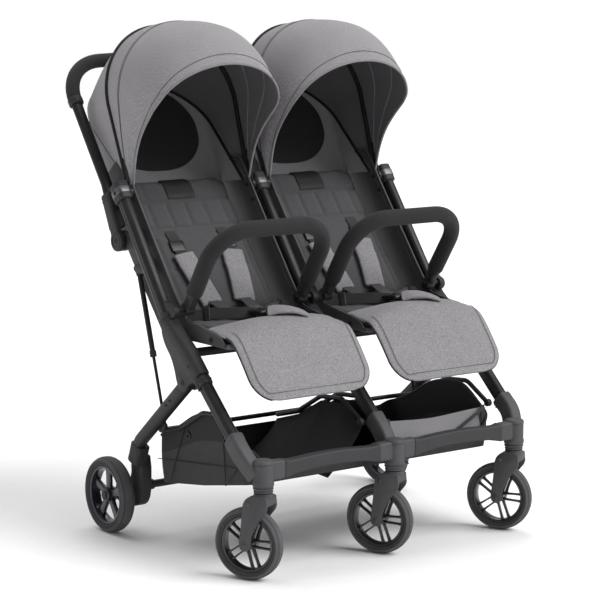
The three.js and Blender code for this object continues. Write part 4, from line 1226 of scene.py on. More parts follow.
# ------------------------------------------------------------------------------------ handle and bumper bars
@dataclass
class Handle:
    """The push handle: a hoop in two sleeves with a foam grip over its top."""

    bench: Bench
    sleeve: tuple = ((82.0, 641.0), (122.0, 730.0))
    top: tuple[float, float] = (251.0, 905.0)
    corner: tuple[float, float] = (303.0, 975.0)
    middle: tuple[float, float] = (313.0, 988.0)
    bend: float = 100.0
    grip: float = 15.0
    disc: float = 22.0

    @property
    def lean(self) -> tuple[float, float, float]:
        """The direction across the hoop's own plane."""
        return (0.0, self.corner[1] - self.sleeve[1][1], self.sleeve[1][0] - self.corner[0])

    def hoop(self, gripped: bool) -> np.ndarray:
        """The hoop's centreline from one sleeve to the other, or only the stretch under the grip."""
        lower, upper = self.sleeve
        halves = []
        for side in (-1, 1):
            x = side * FRAME_PITCH
            leg = rounded([(x, *upper), (x, *self.corner), (0, *self.middle)], self.bend, 14)
            if gripped:
                start = along(upper, self.corner, gap(upper, self.top) - 20)
                leg = np.vstack([[(x, *start)], leg[1:]])
            else:
                leg = np.vstack([[(x, *along(lower, upper, 14))], leg])
            halves.append(leg)
        return np.vstack([halves[0], halves[1][::-1][1:]])

    def knuckle(self, x: float, side: int) -> Shape:
        """The sleeve that turns on the seat tube: a round joint cover with a raised ring, and a socket for the hoop."""
        upper = self.sleeve[1]
        outer = band(x + side * 0.3, x + side * 12)
        face = x + side * 12
        body = peg(self.disc, *outer, KNUCKLE, 2.4)
        ring = [(13, 0.0), (13.5, 1.0), (16.5, 1.0), (17, 0.0), (17, -2), (13, -2)]
        body = body + turned([(r, face + side * h) for r, h in ring], 0, (0.0, *KNUCKLE), 40, loop=True)
        body = body + screw(face, KNUCKLE, side, 5.5)
        neck = line(x, along(KNUCKLE, upper, self.disc + 4), along(KNUCKLE, upper, 104))
        body = body + tube(neck, oval(27, 33, 4.5, 36), soft=3)
        web = line(x + side * 6.15, KNUCKLE, along(KNUCKLE, upper, 40))
        body = body + tube(web, oval(11.7, 30, 4.5, 36), soft=1)
        for place in (88.0, 95.0):
            body = body + tube(line(x, along(KNUCKLE, upper, place), along(KNUCKLE, upper, place + 3)),
                               oval(28.6, 34.6, 4.5, 36), soft=1)
        return body

    def build(self) -> None:
        """Builds the hoop, the grip and the sleeves."""
        body = Body.HANDLE.of()
        bar = tube(self.hoop(False), oval(18, 24, 2.4, 32), self.lean, soft=1)
        self.bench.fit("handle_hoop", bar, [BLACK_TUBE], body, Slot.TUBE, ("handle_bar",))
        path = self.hoop(True)
        foam = tube(path, oval(2 * self.grip, count=36), self.lean, soft=3)
        ends = [tube(np.array([a, a + (b - a) / np.linalg.norm(b - a) * 16]), oval(2 * self.grip + 2, count=36),
                     self.lean,
                     soft=2.5) for a, b in ((path[0], path[1]), (path[-1], path[-2]))]
        self.bench.fit("handle_foam", foam + ends[0].marked(1) + ends[1].marked(1), [FOAM, JOINT], body, Slot.FOAM,
                       ("handle_grip",))
        for name, side in SIDES.items():
            self.bench.fit(f"knuckle_{name}", self.knuckle(side * FRAME_PITCH, side), [JOINT], body, Slot.JOINT,
                           (f"handle_sleeve_{name}",))


@dataclass
class BumperBars:
    """The foam hoops across the seats, each on two plugs."""

    bench: Bench
    half: float = 139.5
    rise: float = 196.0
    lean: float = 34.0
    foam: float = 17.0
    bend: float = 60.0

    def place(self, x: float, up: float) -> tuple[float, float, float]:
        """A point of the hoop's plane: x across, and up from the pivot line along the lean."""
        lean = math.radians(self.lean)
        return (x, BUMPER_PIVOT[0] - up * math.sin(lean), BUMPER_PIVOT[1] + up * math.cos(lean))

    def hoop(self, x: float) -> Shape:
        """The hoop: foam that thins a little at its ends, a cuff below each end, a plug, and a round boss on the pin.
        """
        half, lean = self.half, math.radians(self.lean)
        across = (0.0, math.cos(lean), math.sin(lean))
        path = rounded([self.place(x - half, 40), self.place(x - half, self.rise), self.place(x + half, self.rise),
                        self.place(x + half, 40)], self.bend + 14, 12)
        share = spans(path) / spans(path)[-1]
        path[:, 2] += 3.5 * np.sin(np.pi * share) ** 4
        body = tube(path, oval(2 * self.foam, count=36), across, soft=4)
        for side in (-1, 1):
            at = x + side * half
            body = body + tube([self.place(at, 32), self.place(at, 45)], oval(29, count=32), across, soft=2).marked(1)
            body = body + tube([self.place(at, 4), self.place(at, 36)], oval(23, 21, 3.4, 32), across, soft=2).marked(1)
            body = body + peg(12.8, at - 11, at + 11, BUMPER_PIVOT, 2).marked(1)
            for face in (-1, 1):
                body = body + screw(at + face * 11, BUMPER_PIVOT, face, 5.2).marked(2)
            button = self.place(at, 20)
            body = body + peg(4.6, at - 13, at + 13, button[1:], 1.4).marked(1)
        return body

    def build(self) -> None:
        """Builds one bar for each seat."""
        for name, side in SIDES.items():
            self.bench.fit(f"bumper_foam_{name}", self.hoop(side * FRAME_PITCH / 2), [FOAM, JOINT, STEEL],
                           Body.BUMPER.of(name), Slot.FOAM, (f"bumper_bar_{name}",))


# ------------------------------------------------------------------------------------ canopies
@dataclass
class Canopy:
    """One seat's canopy: cloth over a bow, a front hood that folds back, and a rear wall with a mesh window."""

    bench: Bench
    name: str
    x: float
    straight: float = 190.0
    foot: float = 16.0
    bow_angle: float = 20.0
    front_angle: float = -30.0
    rear_angle: float = 50.0
    cloth: float = 1.3
    turn_share: float = 0.4

    def arch(self, u: np.ndarray, half, crown) -> tuple[np.ndarray, np.ndarray]:
        """The cloth's arch: straight up from the foot to a quarter ellipse over the crown.

        With p = 1 - |u|, the distance from the pivot line is foot + (straight - foot) * p / turn_share while p is
        below turn_share, and straight + (crown - straight) * sin(t) above it; across it is half * cos(t).

        Args:
            u: from -1 at the left foot to 1 at the right.
            half: half the width.
            crown: the distance at the crown.

        Returns:
            The distance from the pivot line, and the place across.
        """
        p = 1 - np.abs(u)
        t = np.clip((p - self.turn_share) / (1 - self.turn_share), 0, 1) * np.pi / 2
        low = self.foot + (self.straight - self.foot) * np.clip(p / self.turn_share, 0, 1)
        out = low + (crown - self.straight) * np.sin(t)
        return out, np.sign(u) * half * np.cos(t) * (1 - 0.05 * np.clip(1 - p / self.turn_share, 0, 1))

    def point(self, out: np.ndarray, across: np.ndarray, degrees: np.ndarray) -> np.ndarray:
        """The point a distance out from the pivot line at an angle back from upright: y + out sin, z + out cos."""
        angle = np.radians(degrees)
        return np.stack(np.broadcast_arrays(self.x + across, CLAMP[0] + out * np.sin(angle),
                                            CLAMP[1] + out * np.cos(angle)), axis=-1)

    def hood(self, u: np.ndarray, v: np.ndarray, lift: float = 0.0) -> np.ndarray:
        """The front hood's surface.

        From the bow (v = 0) to the hem (v = 1) the crown falls by 7 over the first part and by 44 times the 1.7th
        power of the last part; the hem's angle eases from -12 degrees at the foot to -30 above it.

        Args:
            u: across, from -1 to 1.
            v: from the bow to the hem.
            lift: how far outside the cloth the point stands.

        Returns:
            The points.
        """
        drop = 7 * ease(v / 0.4) + 44 * np.clip((v - 0.6) / 0.4, 0, 1) ** 1.7
        half = 161 - 4 * ease(v / 0.5) - 5 * ease(v * 2 - 1) + 2.5 * np.sin(np.pi * v)
        out, across = self.arch(u, half + lift, 357 + lift - drop)
        hem = -12 + (self.front_angle + 12) * ease((out - 40) / 190)
        return self.point(out, across, self.bow_angle + (hem - self.bow_angle) * v)

    def rear(self, u: np.ndarray, v: np.ndarray, lift: float = 0.0) -> np.ndarray:
        """The rear panel's surface: from the rear rib (v = 0) to the bow (v = 1) the crown rises from 337 to 357."""
        out, across = self.arch(u, 151 + 10 * ease(v) + lift, 337 + 20 * ease(v) - 3 * np.sin(np.pi * v) + lift)
        return self.point(out, across, self.rear_angle + (self.bow_angle - self.rear_angle) * v)

    def wall(self, u: np.ndarray, w: np.ndarray, lift: float = 0.0) -> np.ndarray:
        """The rear wall: straight lines from the backrest's head (w = 0) to the rear rib (w = 1), bellied back by 16.
        """
        rib = self.rear(u, np.zeros_like(u))
        _, head = self.arch(u, 143.0, self.straight + 1)
        foot = np.stack(np.broadcast_arrays(self.x + head, BACK_HEAD[0] + 9.0, BACK_HEAD[1] - 24.0), axis=-1)
        made = foot + (rib - foot) * w[..., None]
        made[..., 1] += 16 * np.sin(np.pi * w) * np.clip((1 - np.abs(u)) * 2.2, 0, 1) + lift
        return made

    def grid(self, rows: int, columns: int, start: float = 0.0, end: float = 1.0) -> tuple[np.ndarray, np.ndarray]:
        """Even steps of v down the rows and of u along them."""
        return tuple(np.meshgrid(np.linspace(-1, 1, columns), np.linspace(start, end, rows)))

    def build(self) -> None:
        """Builds the hood, the rear panel, the wall, its window, the bow and the trims."""
        front, back = Body.FRONT.of(), Body.BACK.of(self.name)
        u, v = self.grid(45, 97)
        hood = shell(self.hood(u, v), self.cloth)
        across = np.linspace(-1, 1, 97)
        trims = wire(self.hood(across, np.full(97, 1.0), 0.4), 2.3).marked(2)
        seams = [(0.004, 1.5, 3.6, 4), (0.93, 0.3, 0.8, 3), (0.24, 0.25, 0.7, 3), (0.262, 0.25, 0.7, 3)]
        for place, lift, radius, mark in seams:
            trims = trims + wire(self.hood(across, np.full(97, place), lift), radius).marked(mark)
        for place in (0.3, 0.66):
            trims = trims + wire(self.hood(across * 0.995, np.full(97, place), -self.cloth - 0.6), 1.0).marked(2)
        piece = self.bench.fit(f"hood_{self.name}", hood + trims, [MELANGE, LINING, PIPING, THREAD, BLACK_CORD], None,
                               Slot.MELANGE, (f"canopy_front_{self.name}",), crease=70)
        start = self.bench.metres(self.point(np.array(345.0), np.array(0.0), np.array(self.bow_angle - 1)))
        end = self.bench.metres(self.point(np.array(320.0), np.array(0.0), np.array(self.front_angle + 3)))
        Body.CANOPY.of(self.name)
        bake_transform(piece)

        u, v = self.grid(25, 97)
        rear = shell(self.rear(u, v), self.cloth)
        ribs = wire(self.rear(across, np.zeros(97), -3.0), 3.2, 14).marked(2)
        ribs = ribs + wire(self.rear(across, np.full(97, 0.985), 1.2), 2.4).marked(2)
        piece = self.bench.fit(f"rear_hood_{self.name}", rear + ribs, [MELANGE, LINING, BLACK_CORD], front,
                               Slot.LINING, (f"canopy_rear_{self.name}",), crease=70)

        u, w = self.grid(41, 81)
        wall = self.bench.fit(f"rear_wall_{self.name}", shell(self.wall(u, w), self.cloth),
                              [MELANGE, MELANGE, DARK_PIPING], None, Slot.LINING, crease=70)
        radius, angle = np.meshgrid(np.linspace(0.02, 1, 40), np.linspace(0, 2 * np.pi, 97)[:-1], indexing="ij")
        place = 130 * radius * np.sign(np.cos(angle)) * np.abs(np.cos(angle)) ** 0.8
        share = 1 - self.turn_share - (1 - self.turn_share) * np.arccos(np.abs(place) / 151) / (np.pi / 2)
        window_u, window_w = np.sign(place) * share, 0.6 + radius * np.where(
            np.sin(angle) > 0, 0.37 * np.abs(np.sin(angle)) ** 0.6, 0.46 * np.sin(angle))
        inside, outside = self.wall(window_u, window_w, -3.2), self.wall(window_u, window_w, 3.0)
        disc = np.vstack([inside, outside[::-1]])
        rows, columns = disc.shape[:2]
        ends = [np.arange(columns), np.arange(columns) + (rows - 1) * columns]
        flat = np.stack([disc[..., 0], disc[..., 2] * 1.3], axis=-1).reshape(-1, 2) * MM
        pane = Shape(disc.reshape(-1, 3), lattice(rows, columns, ring=True), ends, flat)
        rim = wire(np.vstack([inside[-1], inside[-1, :2]]), 1.8).marked(1)
        window = self.bench.fit(f"window_{self.name}", pane + rim, [WINDOW, DARK_PIPING], None, Slot.LINING, crease=70)
        low, high = self.bench.metres(np.array([[self.x, 205.0, 840.0], [self.x, BACK_HEAD[0] + 18, BACK_HEAD[1] + 6]]))
        for piece in (wall, window):
            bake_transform(piece)
        self.bow()

    def bow(self) -> None:
        """Builds the bow: a round rod under the cloth, with flat feet on the clamps and a bracket near its top."""
        u = np.linspace(-1, 1, 97)
        out, across = self.arch(u, 156.0, 351.0)
        path = self.point(out, across, np.full(97, self.bow_angle))
        body = tube(path, oval(10, 8, 3, 20), (0, 1, 0), soft=1)
        for side in (-1, 1):
            foot = self.point(np.array([10.0, self.foot + 60]), np.array([1.0, 1.0]) * side * 153,
                              np.full(2, self.bow_angle))
            body = body + tube(foot, oval(6, 20, 3.5, 28), soft=1.5)
            body = body + peg(14, *band(self.x + side * 149, self.x + side * 157), CLAMP, 1.5)
        for side in (-1, 1):
            bracket = self.point(*self.arch(np.array([0.35, 0.31]) * side, 150.0, 344.0), np.full(2, self.bow_angle))
            body = body + tube(bracket, oval(22, 10, 4, 24), (0, 1, 0), soft=2)
        self.bench.fit(f"bow_{self.name}", body, [BLACK_TUBE], Body.FRONT.of(), Slot.TUBE, (f"canopy_bow_{self.name}",))


# ------------------------------------------------------------------------------------ padding
def coordinates(piece: bpy.types.Object) -> np.ndarray:
    """A piece's vertices as an array."""
    made = np.zeros(len(piece.data.vertices) * 3)
    piece.data.vertices.foreach_get("co", made)
    return made.reshape(-1, 3)


def put(piece: bpy.types.Object, points: np.ndarray) -> None:
    """Moves a piece's vertices to the rows of an array."""
    piece.data.vertices.foreach_set("co", points.astype(np.float32).ravel())
    piece.data.update()


def swell(piece: bpy.types.Object, voxel: float, cap: float, pressure: float = 4.0) -> None:
    """Blows a cushion up as cloth: an even remesh, twenty frames of pressure without weight, and a cap on the movement.

    Args:
        piece: the cushion.
        voxel: the size of the remesh, in millimetres.
        cap: how far a point may move, in millimetres.
        pressure: the pressure inside.
    """
    remesh = piece.modifiers.new("Even", "REMESH")
    remesh.mode, remesh.voxel_size = "VOXEL", voxel * MM
    graph = bpy.context.evaluated_depsgraph_get()
    even = bpy.data.meshes.new_from_object(piece.evaluated_get(graph))
    piece.modifiers.clear()
    piece.data = even
    even.shade_smooth()
    before = coordinates(piece)
    cloth = piece.modifiers.new("Fill", "CLOTH")
    cloth.settings.use_pressure = True
    cloth.settings.uniform_pressure_force = pressure
    cloth.settings.effector_weights.gravity = 0
    cloth.settings.quality = 4
    cloth.point_cache.frame_start, cloth.point_cache.frame_end = 1, 20
    scene = bpy.context.scene
    for number in range(1, 21):
        scene.frame_set(number)
    blown = piece.evaluated_get(bpy.context.evaluated_depsgraph_get()).to_mesh()
    after = np.zeros(len(before) * 3)
    blown.vertices.foreach_get("co", after)
    move = after.reshape(-1, 3) - before
    reach = np.linalg.norm(move, axis=1, keepdims=True)
    piece.modifiers.clear()
    put(piece, before + move * np.minimum(1, cap * MM / np.maximum(reach, 1e-9)))
    scene.frame_set(1)


@dataclass
class Slope:
    """A plane that a pad lies on: u across, s along it from its foot, h out of it towards the rider.

    Attributes:
        x: the middle of the pad, across the stroller.
        foot: the (y, z) where s is 0.
        head: the (y, z) that s runs towards.
    """

    x: float
    foot: tuple[float, float]
    head: tuple[float, float]

    @property
    def way(self) -> np.ndarray:
        """The direction of s, as (y, z)."""
        return unit(np.subtract(self.head, self.foot).astype(float))

    def out(self, u, s, h) -> np.ndarray:
        """The points at (u, s, h), in the maker's millimetres."""
        y, z = self.way
        return np.stack(np.broadcast_arrays(self.x + u, self.foot[0] + s * y - h * z, self.foot[1] + s * z + h * y),
                        axis=-1)

    def into(self, points: np.ndarray) -> tuple[np.ndarray, np.ndarray, np.ndarray]:
        """(u, s, h) of points in the maker's millimetres."""
        y, z = self.way
        dy, dz = points[..., 1] - self.foot[0], points[..., 2] - self.foot[1]
        return points[..., 0] - self.x, dy * y + dz * z, dz * y - dy * z


@dataclass
class Pad:
    """A stuffed pad on a slope: its outline, its sewn lines, and its swelling."""

    bench: Bench
    slope: Slope
    half: float
    length: float
    thickness: float
    corner: float = 16.0
    voxel: float = 5.0
    cap: float = 7.0

    def blank(self) -> Shape:
        """The pad before it is filled: a rounded slab whose edges are drawn in to half its thickness."""
        t = np.linspace(0, 1, 25)
        near = np.minimum(t, 1 - t) * self.length
        bite = np.maximum(0, self.corner - near)
        width = 1 - (self.corner - np.sqrt(np.maximum(0, self.corner**2 - bite**2))) / self.half
        thin = 0.55 + 0.45 * np.minimum(1, near / 22) ** 0.6
        path = self.slope.out(0.0, t * self.length, -self.thickness / 2)
        return tube(path, oval(2 * self.half, self.thickness, 5, 72), scale=np.column_stack([width, thin]), soft=3)

    def sew(self, piece: bpy.types.Object, rows: list, columns: list) -> None:
        """Sinks the front face along sewn lines: by depth * exp(-(distance / width) ^ 2) each, columns within a span.

        Args:
            piece: the filled pad.
            rows: (s, depth, width) of the lines across.
            columns: (u, depth, width, lowest s, highest s) of the lines along.
        """
        origin = np.array([0.0, self.bench.datum, 0.0])
        points = (coordinates(piece) - origin) / MM
        u, s, h = self.slope.into(points)
        face = ease((h + self.thickness * 0.6) / (self.thickness * 0.4))
        sunk = np.zeros(len(points))
        for place, depth, width in rows:
            sunk += depth * np.exp(-((s - place) / width) ** 2)
        for place, depth, width, low, high in columns:
            inside = ease((s - low) / 6) * ease((high - s) / 6)
            sunk = np.maximum(sunk, depth * inside * np.exp(-((u - place) / width) ** 2))
        put(piece, self.slope.out(u, s, h - sunk * face) * MM + origin)

    def relief(self, piece: bpy.types.Object, u: np.ndarray, s: np.ndarray, spread: float = 6.0) -> np.ndarray:
        """How far out the filled pad's face stands at given places: the mean of its points, weighed by
        exp(-(distance / spread) ^ 2).

        Args:
            piece: the filled pad.
            u: the places across.
            s: the places along.
            spread: how far the mean reaches.

        Returns:
            The heights, in the shape of u and s.
        """
        points = (coordinates(piece) - np.array([0.0, self.bench.datum, 0.0])) / MM
        pu, ps, ph = self.slope.into(points)
        front = ph > -self.thickness * 0.5
        pu, ps, ph = pu[front], ps[front], ph[front]
        flat_u, flat_s = np.broadcast_arrays(u, s)
        square = (flat_u.ravel()[:, None] - pu) ** 2 + (flat_s.ravel()[:, None] - ps) ** 2
        weight = np.exp(-square / spread**2) + 1e-12
        return ((weight @ ph) / weight.sum(axis=1)).reshape(flat_u.shape)

    def soften(self, piece: bpy.types.Object) -> None:
        """Adds one subdivision."""
        smooth = piece.modifiers.new("Smooth", "SUBSURF")
        smooth.levels = smooth.render_levels = 1


# ------------------------------------------------------------------------------------ seats
@dataclass
class Seat:
    """One seat: side wings, a seat pad, a quilted backrest, a footrest and a harness."""

    bench: Bench
    name: str
    x: float
    wing: tuple[float, float] = (144.3, 147.3)
    back_half: float = 138.0
    back_thickness: float = 20.0

    def back_pad(self) -> Pad:
        """The backrest's padding."""
        slope = Slope(self.x, BACK_FOOT, BACK_HEAD)
        return Pad(self.bench, slope, self.back_half - 3, gap(BACK_FOOT, BACK_HEAD) - 4, self.back_thickness)

    def seat_pad(self) -> Pad:
        """The seat's padding."""
        return Pad(self.bench, Slope(self.x, (-284, 461), (-88, 465)), 140.0, 197.0, 22.0, cap=6.0)

    def wings(self) -> None:
        """Builds the side wings: smooth cloth from the seat's front up to the canopy, piped, with two studs."""
        outline = [(-276, 436), (-274, 444), (-252, 458), (-180, 470), (-132, 482), (-40, 596), (44, 706), (92, 770),
                   (128, 776), (150, 757), (172, 738), (178, 714), (66, 574), (-52, 434)]
        seam = curve([(-274, 443), (-252, 458), (-180, 471), (-132, 483), (-40, 596.5), (44, 706.5), (92, 770),
                      (128, 776)], 70)
        made = None
        for side in (-1, 1):
            low, high = band(self.x + side * self.wing[0], self.x + side * self.wing[1])
            body = slab(outline, low, high, 16, 1)
            edge = np.column_stack([np.full(len(seam), (low + high) / 2), seam])
            body = body + wire(edge, 2.0).marked(1)
            second = np.column_stack([np.full(len(seam), self.x + side * (self.wing[0] - 0.2)), seam + [8.0, -8.0]])
            body = body + wire(second[6:-3], 0.7).marked(1)
            for stud in ((66, 716), (46, 686)):
                body = body + screw(self.x + side * self.wing[0], stud, -side, 5.5, 2.2).marked(2)
            body = body + screw(self.x + side * self.wing[1], (-228, 447), side, 6, 2.2).marked(2)
            made = body if made is None else made + body
        self.bench.fit(f"wings_{self.name}", made, [WING, THREAD, GLOSS], Body.FRONT.of(), Slot.LINING)

    def pan(self) -> Shape:
        """The thin board under the seat pad: a rounded tray with a turned-down front edge."""
        return slab([(-287, 434), (-288, 443), (-84, 441), (-84, 434)], self.x - 143, self.x + 143, 3, 1.2)

    def back_quilt(self) -> bpy.types.Object:
        """Fills and sews the backrest."""
        pad = self.back_pad()
        piece = self.bench.mesh(f"backrest_quilt_{self.name}", pad.blank())
        swell(piece, pad.voxel, pad.cap)
        rows = [(290, 6.0, 4.0), (222, 5.5, 3.2), (213, 4.0, 2.6), (204, 4.0, 2.6), (120, 2.0, 5.0)]
        columns = [(u, 4.6, 3.4, 222, 290) for u in (-92, -46, 0, 46, 92)]
        columns += [(u, 3.0, 3.4, 290, 345) for u in (-88, 88)]
        columns += [(u, 4.0, 3.4, 20, 204) for u in (-104, 104)]
        pad.sew(piece, rows, columns)
        return piece

    def seat_quilt(self) -> bpy.types.Object:
        """Fills and sews the seat's pad."""
        pad = self.seat_pad()
        piece = self.bench.mesh(f"seat_quilt_{self.name}", pad.blank())
        swell(piece, pad.voxel, pad.cap)
        pad.sew(piece, [(60, 2.0, 4.0), (140, 2.4, 4.0)], [(u, 2.4, 4.0, 20, 180) for u in (-100, 100)])
        return piece

    def copy_of(self, piece: bpy.types.Object, name: str, shift: float) -> bpy.types.Object:
        """A filled pad again, for the other seat."""
        data = piece.data.copy()
        copy = bpy.data.objects.new(name, data)
        bpy.context.scene.collection.objects.link(copy)
        put(copy, coordinates(piece) + np.array([shift * MM, 0.0, 0.0]))
        return copy

    def droop(self, points: np.ndarray) -> np.ndarray:
        """The footrest's points, its sides lowered near the crest: by 18 * |u|^2.4 * exp(-((y + 262) / 42)^2)."""
        u = np.abs(points[:, 0] - self.x) / 145
        moved = points.copy()
        moved[:, 2] += 1.5 * np.cos(u * np.pi / 2) - 18 * u**2.4 * np.exp(-((points[:, 1] + 262) / 42) ** 2)
        return moved

    def footrest(self) -> None:
        """Builds the footrest: a padded flap that flows over the seat's front edge and hangs at a slant, piped round.
        """
        path = curve([(-214, 470), (-240, 476), (-268, 476), (-290, 466), (-306, 449), (-322, 428), (-344, 398),
                      (-366, 367), (-381, 343)], 61)
        reach = spans(path)
        far = reach[-1] - reach
        corner = 52.0
        rounding = corner - np.sqrt(np.maximum(0, corner**2 - np.maximum(0, corner - far) ** 2))
        taper = 4 * ease((reach[-1] - far - 60) / 60)
        half = 145.0 + 1.5 * np.sin(np.pi * reach / reach[-1]) - taper * 0.4 - rounding
        thick = 0.42 + 0.58 * np.minimum(1, np.minimum(far + 2, reach + 4) / 26) ** 0.6
        line_3d = np.column_stack([np.full(len(path), self.x), path])
        body = tube(line_3d, oval(2, 15, 3.4, 120), scale=np.column_stack([half, thick]), soft=0)
        body = body.bent(self.droop)
        tangent = unit(np.gradient(path, axis=0))
        normal = np.column_stack([tangent[:, 1], -tangent[:, 0]])
        edges = []
        for depth in (0.0, 14.0):
            keep = (reach > 62) & (far > depth * 0.9)
            inner_half = half[keep] - depth
            out = path[keep] + normal[keep] * (6.9 if depth else 0.0)
            left = np.column_stack([self.x - inner_half, out])
            right = np.column_stack([self.x + inner_half, out])
            edges.append(self.droop(np.vstack([left, right[::-1]])))
        trims = wire(edges[0], 1.9).marked(1) + wire(edges[1], 0.6).marked(2)
        piece = self.bench.fit(f"footrest_pad_{self.name}", body + trims, [MELANGE_PAD, DARK_PIPING, THREAD], None,
                               Slot.MELANGE, (f"footrest_{self.name}",), crease=60)
        start, end = self.bench.metres(np.array([[self.x, -286.0, 470.0], [self.x, -306.0, 450.0]]))
        Body.FRONT.of()
        Body.FOOT.of(self.name)
        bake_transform(piece)

    def harness(self, back: Pad, quilt: bpy.types.Object) -> None:
        """Builds the harness: shoulder straps with padded sleeves, waist straps, buckle and crotch strap.

        Args:
            back: the backrest's pad.
            quilt: its filled piece, which the straps lie on.
        """
        name, slope = self.name, back.slope
        straps, sleeves = None, None
        for side in (-1, 1):
            s = np.array([224, 200, 176, 150, 120, 90, 60, 34.0])
            u = side * np.array([64, 64, 63, 61, 57, 52, 46, 40.0])
            lift = np.array([-4.0, 2.2, 3.0, 4.5, 6.5, 6.5, 6.5, 9.0])
            upper = slope.out(u, s, back.relief(quilt, u, s) + lift)
            lower = np.array([[self.x + side * 34, -112, 486], [self.x + side * 26, -140, 486],
                              [self.x + side * 18, -168, 485], [self.x + side * 10, -188, 484]])
            path = curve(np.vstack([upper, lower]), 70)
            strap = tube(path, oval(27, 2.0, 5, 24), soft=0.5)
            buckle = slope.out(np.array([0.0, 0.0]) + u[1] - side * 0.5, np.array([160.0, 186.0]),
                               back.relief(quilt, u[1:2], s[1:2])[0] + 4.0)
            strap = strap + tube(buckle, oval(34, 5, 5, 28), soft=2).marked(1)
            straps = strap if straps is None else straps + strap
            s = np.linspace(152, 26, 26)
            u = side * np.interp(s, [26, 90, 152], [40, 52, 61])
            height = back.relief(quilt, u, s) + 6.5 + 2.0 * np.sin(np.pi * (152 - s) / 126)
            sleeve = tube(slope.out(u, s, height), oval(50, 11, 3.2, 48), soft=3.5)
            sleeves = sleeve if sleeves is None else sleeves + sleeve
        front = Body.FRONT.of()
        piece = self.bench.fit(f"shoulder_straps_{name}", straps, [STRAP, GLOSS], None, Slot.LINING)
        start, end = self.bench.metres(np.array([[self.x, -100.0, 470.0], [self.x, -60.0, 500.0]]))
        Body.BACK.of(name)
        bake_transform(piece)
        piece = self.bench.fit(f"strap_sleeves_{name}", sleeves, [MELANGE_PAD], Body.BACK.of(name), Slot.MELANGE)

        waist = None
        for side in (-1, 1):
            path = curve([(self.x + side * 139, -104, 470), (self.x + side * 120, -112, 477),
                          (self.x + side * 84, -134, 482),
                          (self.x + side * 46, -166, 484), (self.x + side * 14, -190, 484)], 40)
            part = tube(path, oval(24, 2.0, 5, 24), (0.1, 0.5, 0.86), soft=0.5)
            adjuster = tube(path[16:20], oval(32, 6, 5, 28), (0.1, 0.5, 0.86), soft=2).marked(1)
            waist = part + adjuster if waist is None else waist + part + adjuster
        buckle = tube([(self.x - 4, -184, 487), (self.x - 4, -226, 489)], oval(46, 13, 3.2, 40), soft=5).marked(1)
        button = turned([(0, 0), (9, 0), (10, -1), (10, -6), (0, -6)], 2, (self.x - 4, -204, 496.0), 32).marked(2)
        tongues = tube([(self.x - 18, -176, 486), (self.x - 14, -190, 487)], oval(20, 5, 4, 24), soft=1.5).marked(1)
        tongues = tongues + tube([(self.x + 12, -176, 486), (self.x + 8, -190, 487)], oval(20, 5, 4, 24),
                                 soft=1.5).marked(1)
        crotch = tube(curve([(self.x - 4, -222, 488), (self.x - 4, -240, 487), (self.x - 2, -252, 478),
                             (self.x - 2, -256, 466)], 20),
                      oval(26, 2.2, 5, 24), soft=0.5)
        self.bench.fit(f"buckle_{name}", waist + buckle + button + tongues + crotch, [STRAP, GLOSS, JOINT], front,
                       Slot.LINING)
        path = curve([(self.x - 12, -228, 491), (self.x + 4, -240, 496), (self.x + 24, -250, 496),
                      (self.x + 44, -258, 491),
                      (self.x + 58, -262, 485)], 26)
        flap = tube(path, oval(46, 9, 3.2, 48), (0.2, 0.9, 0.1), soft=3)
        piece = self.bench.fit(f"crotch_pad_{name}", flap, [MELANGE_PAD], front, Slot.MELANGE)

    def patch(self, back: Pad, quilt: bpy.types.Object) -> None:
        """Builds the plain dark patch sewn on the backrest's top band."""
        u, s = np.meshgrid(np.linspace(-34, 34, 25), np.linspace(294, 346, 21))
        grid = back.slope.out(u, s, back.relief(quilt, u, s) + 1.0)
        shape = shell(grid, 1.6)
        piece = self.bench.fit(f"patch_{self.name}", shape, [PATCH, PATCH, PATCH], Body.BACK.of(self.name), Slot.LINING)

    def build(self, twin: Seat | None) -> None:
        """Builds the seat.

        Args:
            twin: the seat whose filled pads this one repeats, or None.
        """
        name, front = self.name, Body.FRONT.of()
        self.wings()
        self.bench.fit(f"seat_board_{name}", self.pan(), [LINING], front, Slot.LINING, (f"seat_base_{name}",))
        back = self.back_pad()
        if twin:
            shift = self.x - twin.x
            quilt = self.copy_of(bpy.data.objects[f"backrest_quilt_{twin.name}"], f"backrest_quilt_{name}", shift)
            seat = self.copy_of(bpy.data.objects[f"seat_quilt_{twin.name}"], f"seat_quilt_{name}", shift)
        else:
            quilt, seat = self.back_quilt(), self.seat_quilt()
        self.patch(back, quilt)
        self.harness(back, quilt)
        self.bench.dress(quilt, [QUILT], Body.BACK.of(name), Slot.LINING, (f"backrest_{name}",))
        self.bench.dress(seat, [QUILT], front, Slot.LINING)
        for piece in (quilt, seat):
            back.soften(piece)
        self.footrest()


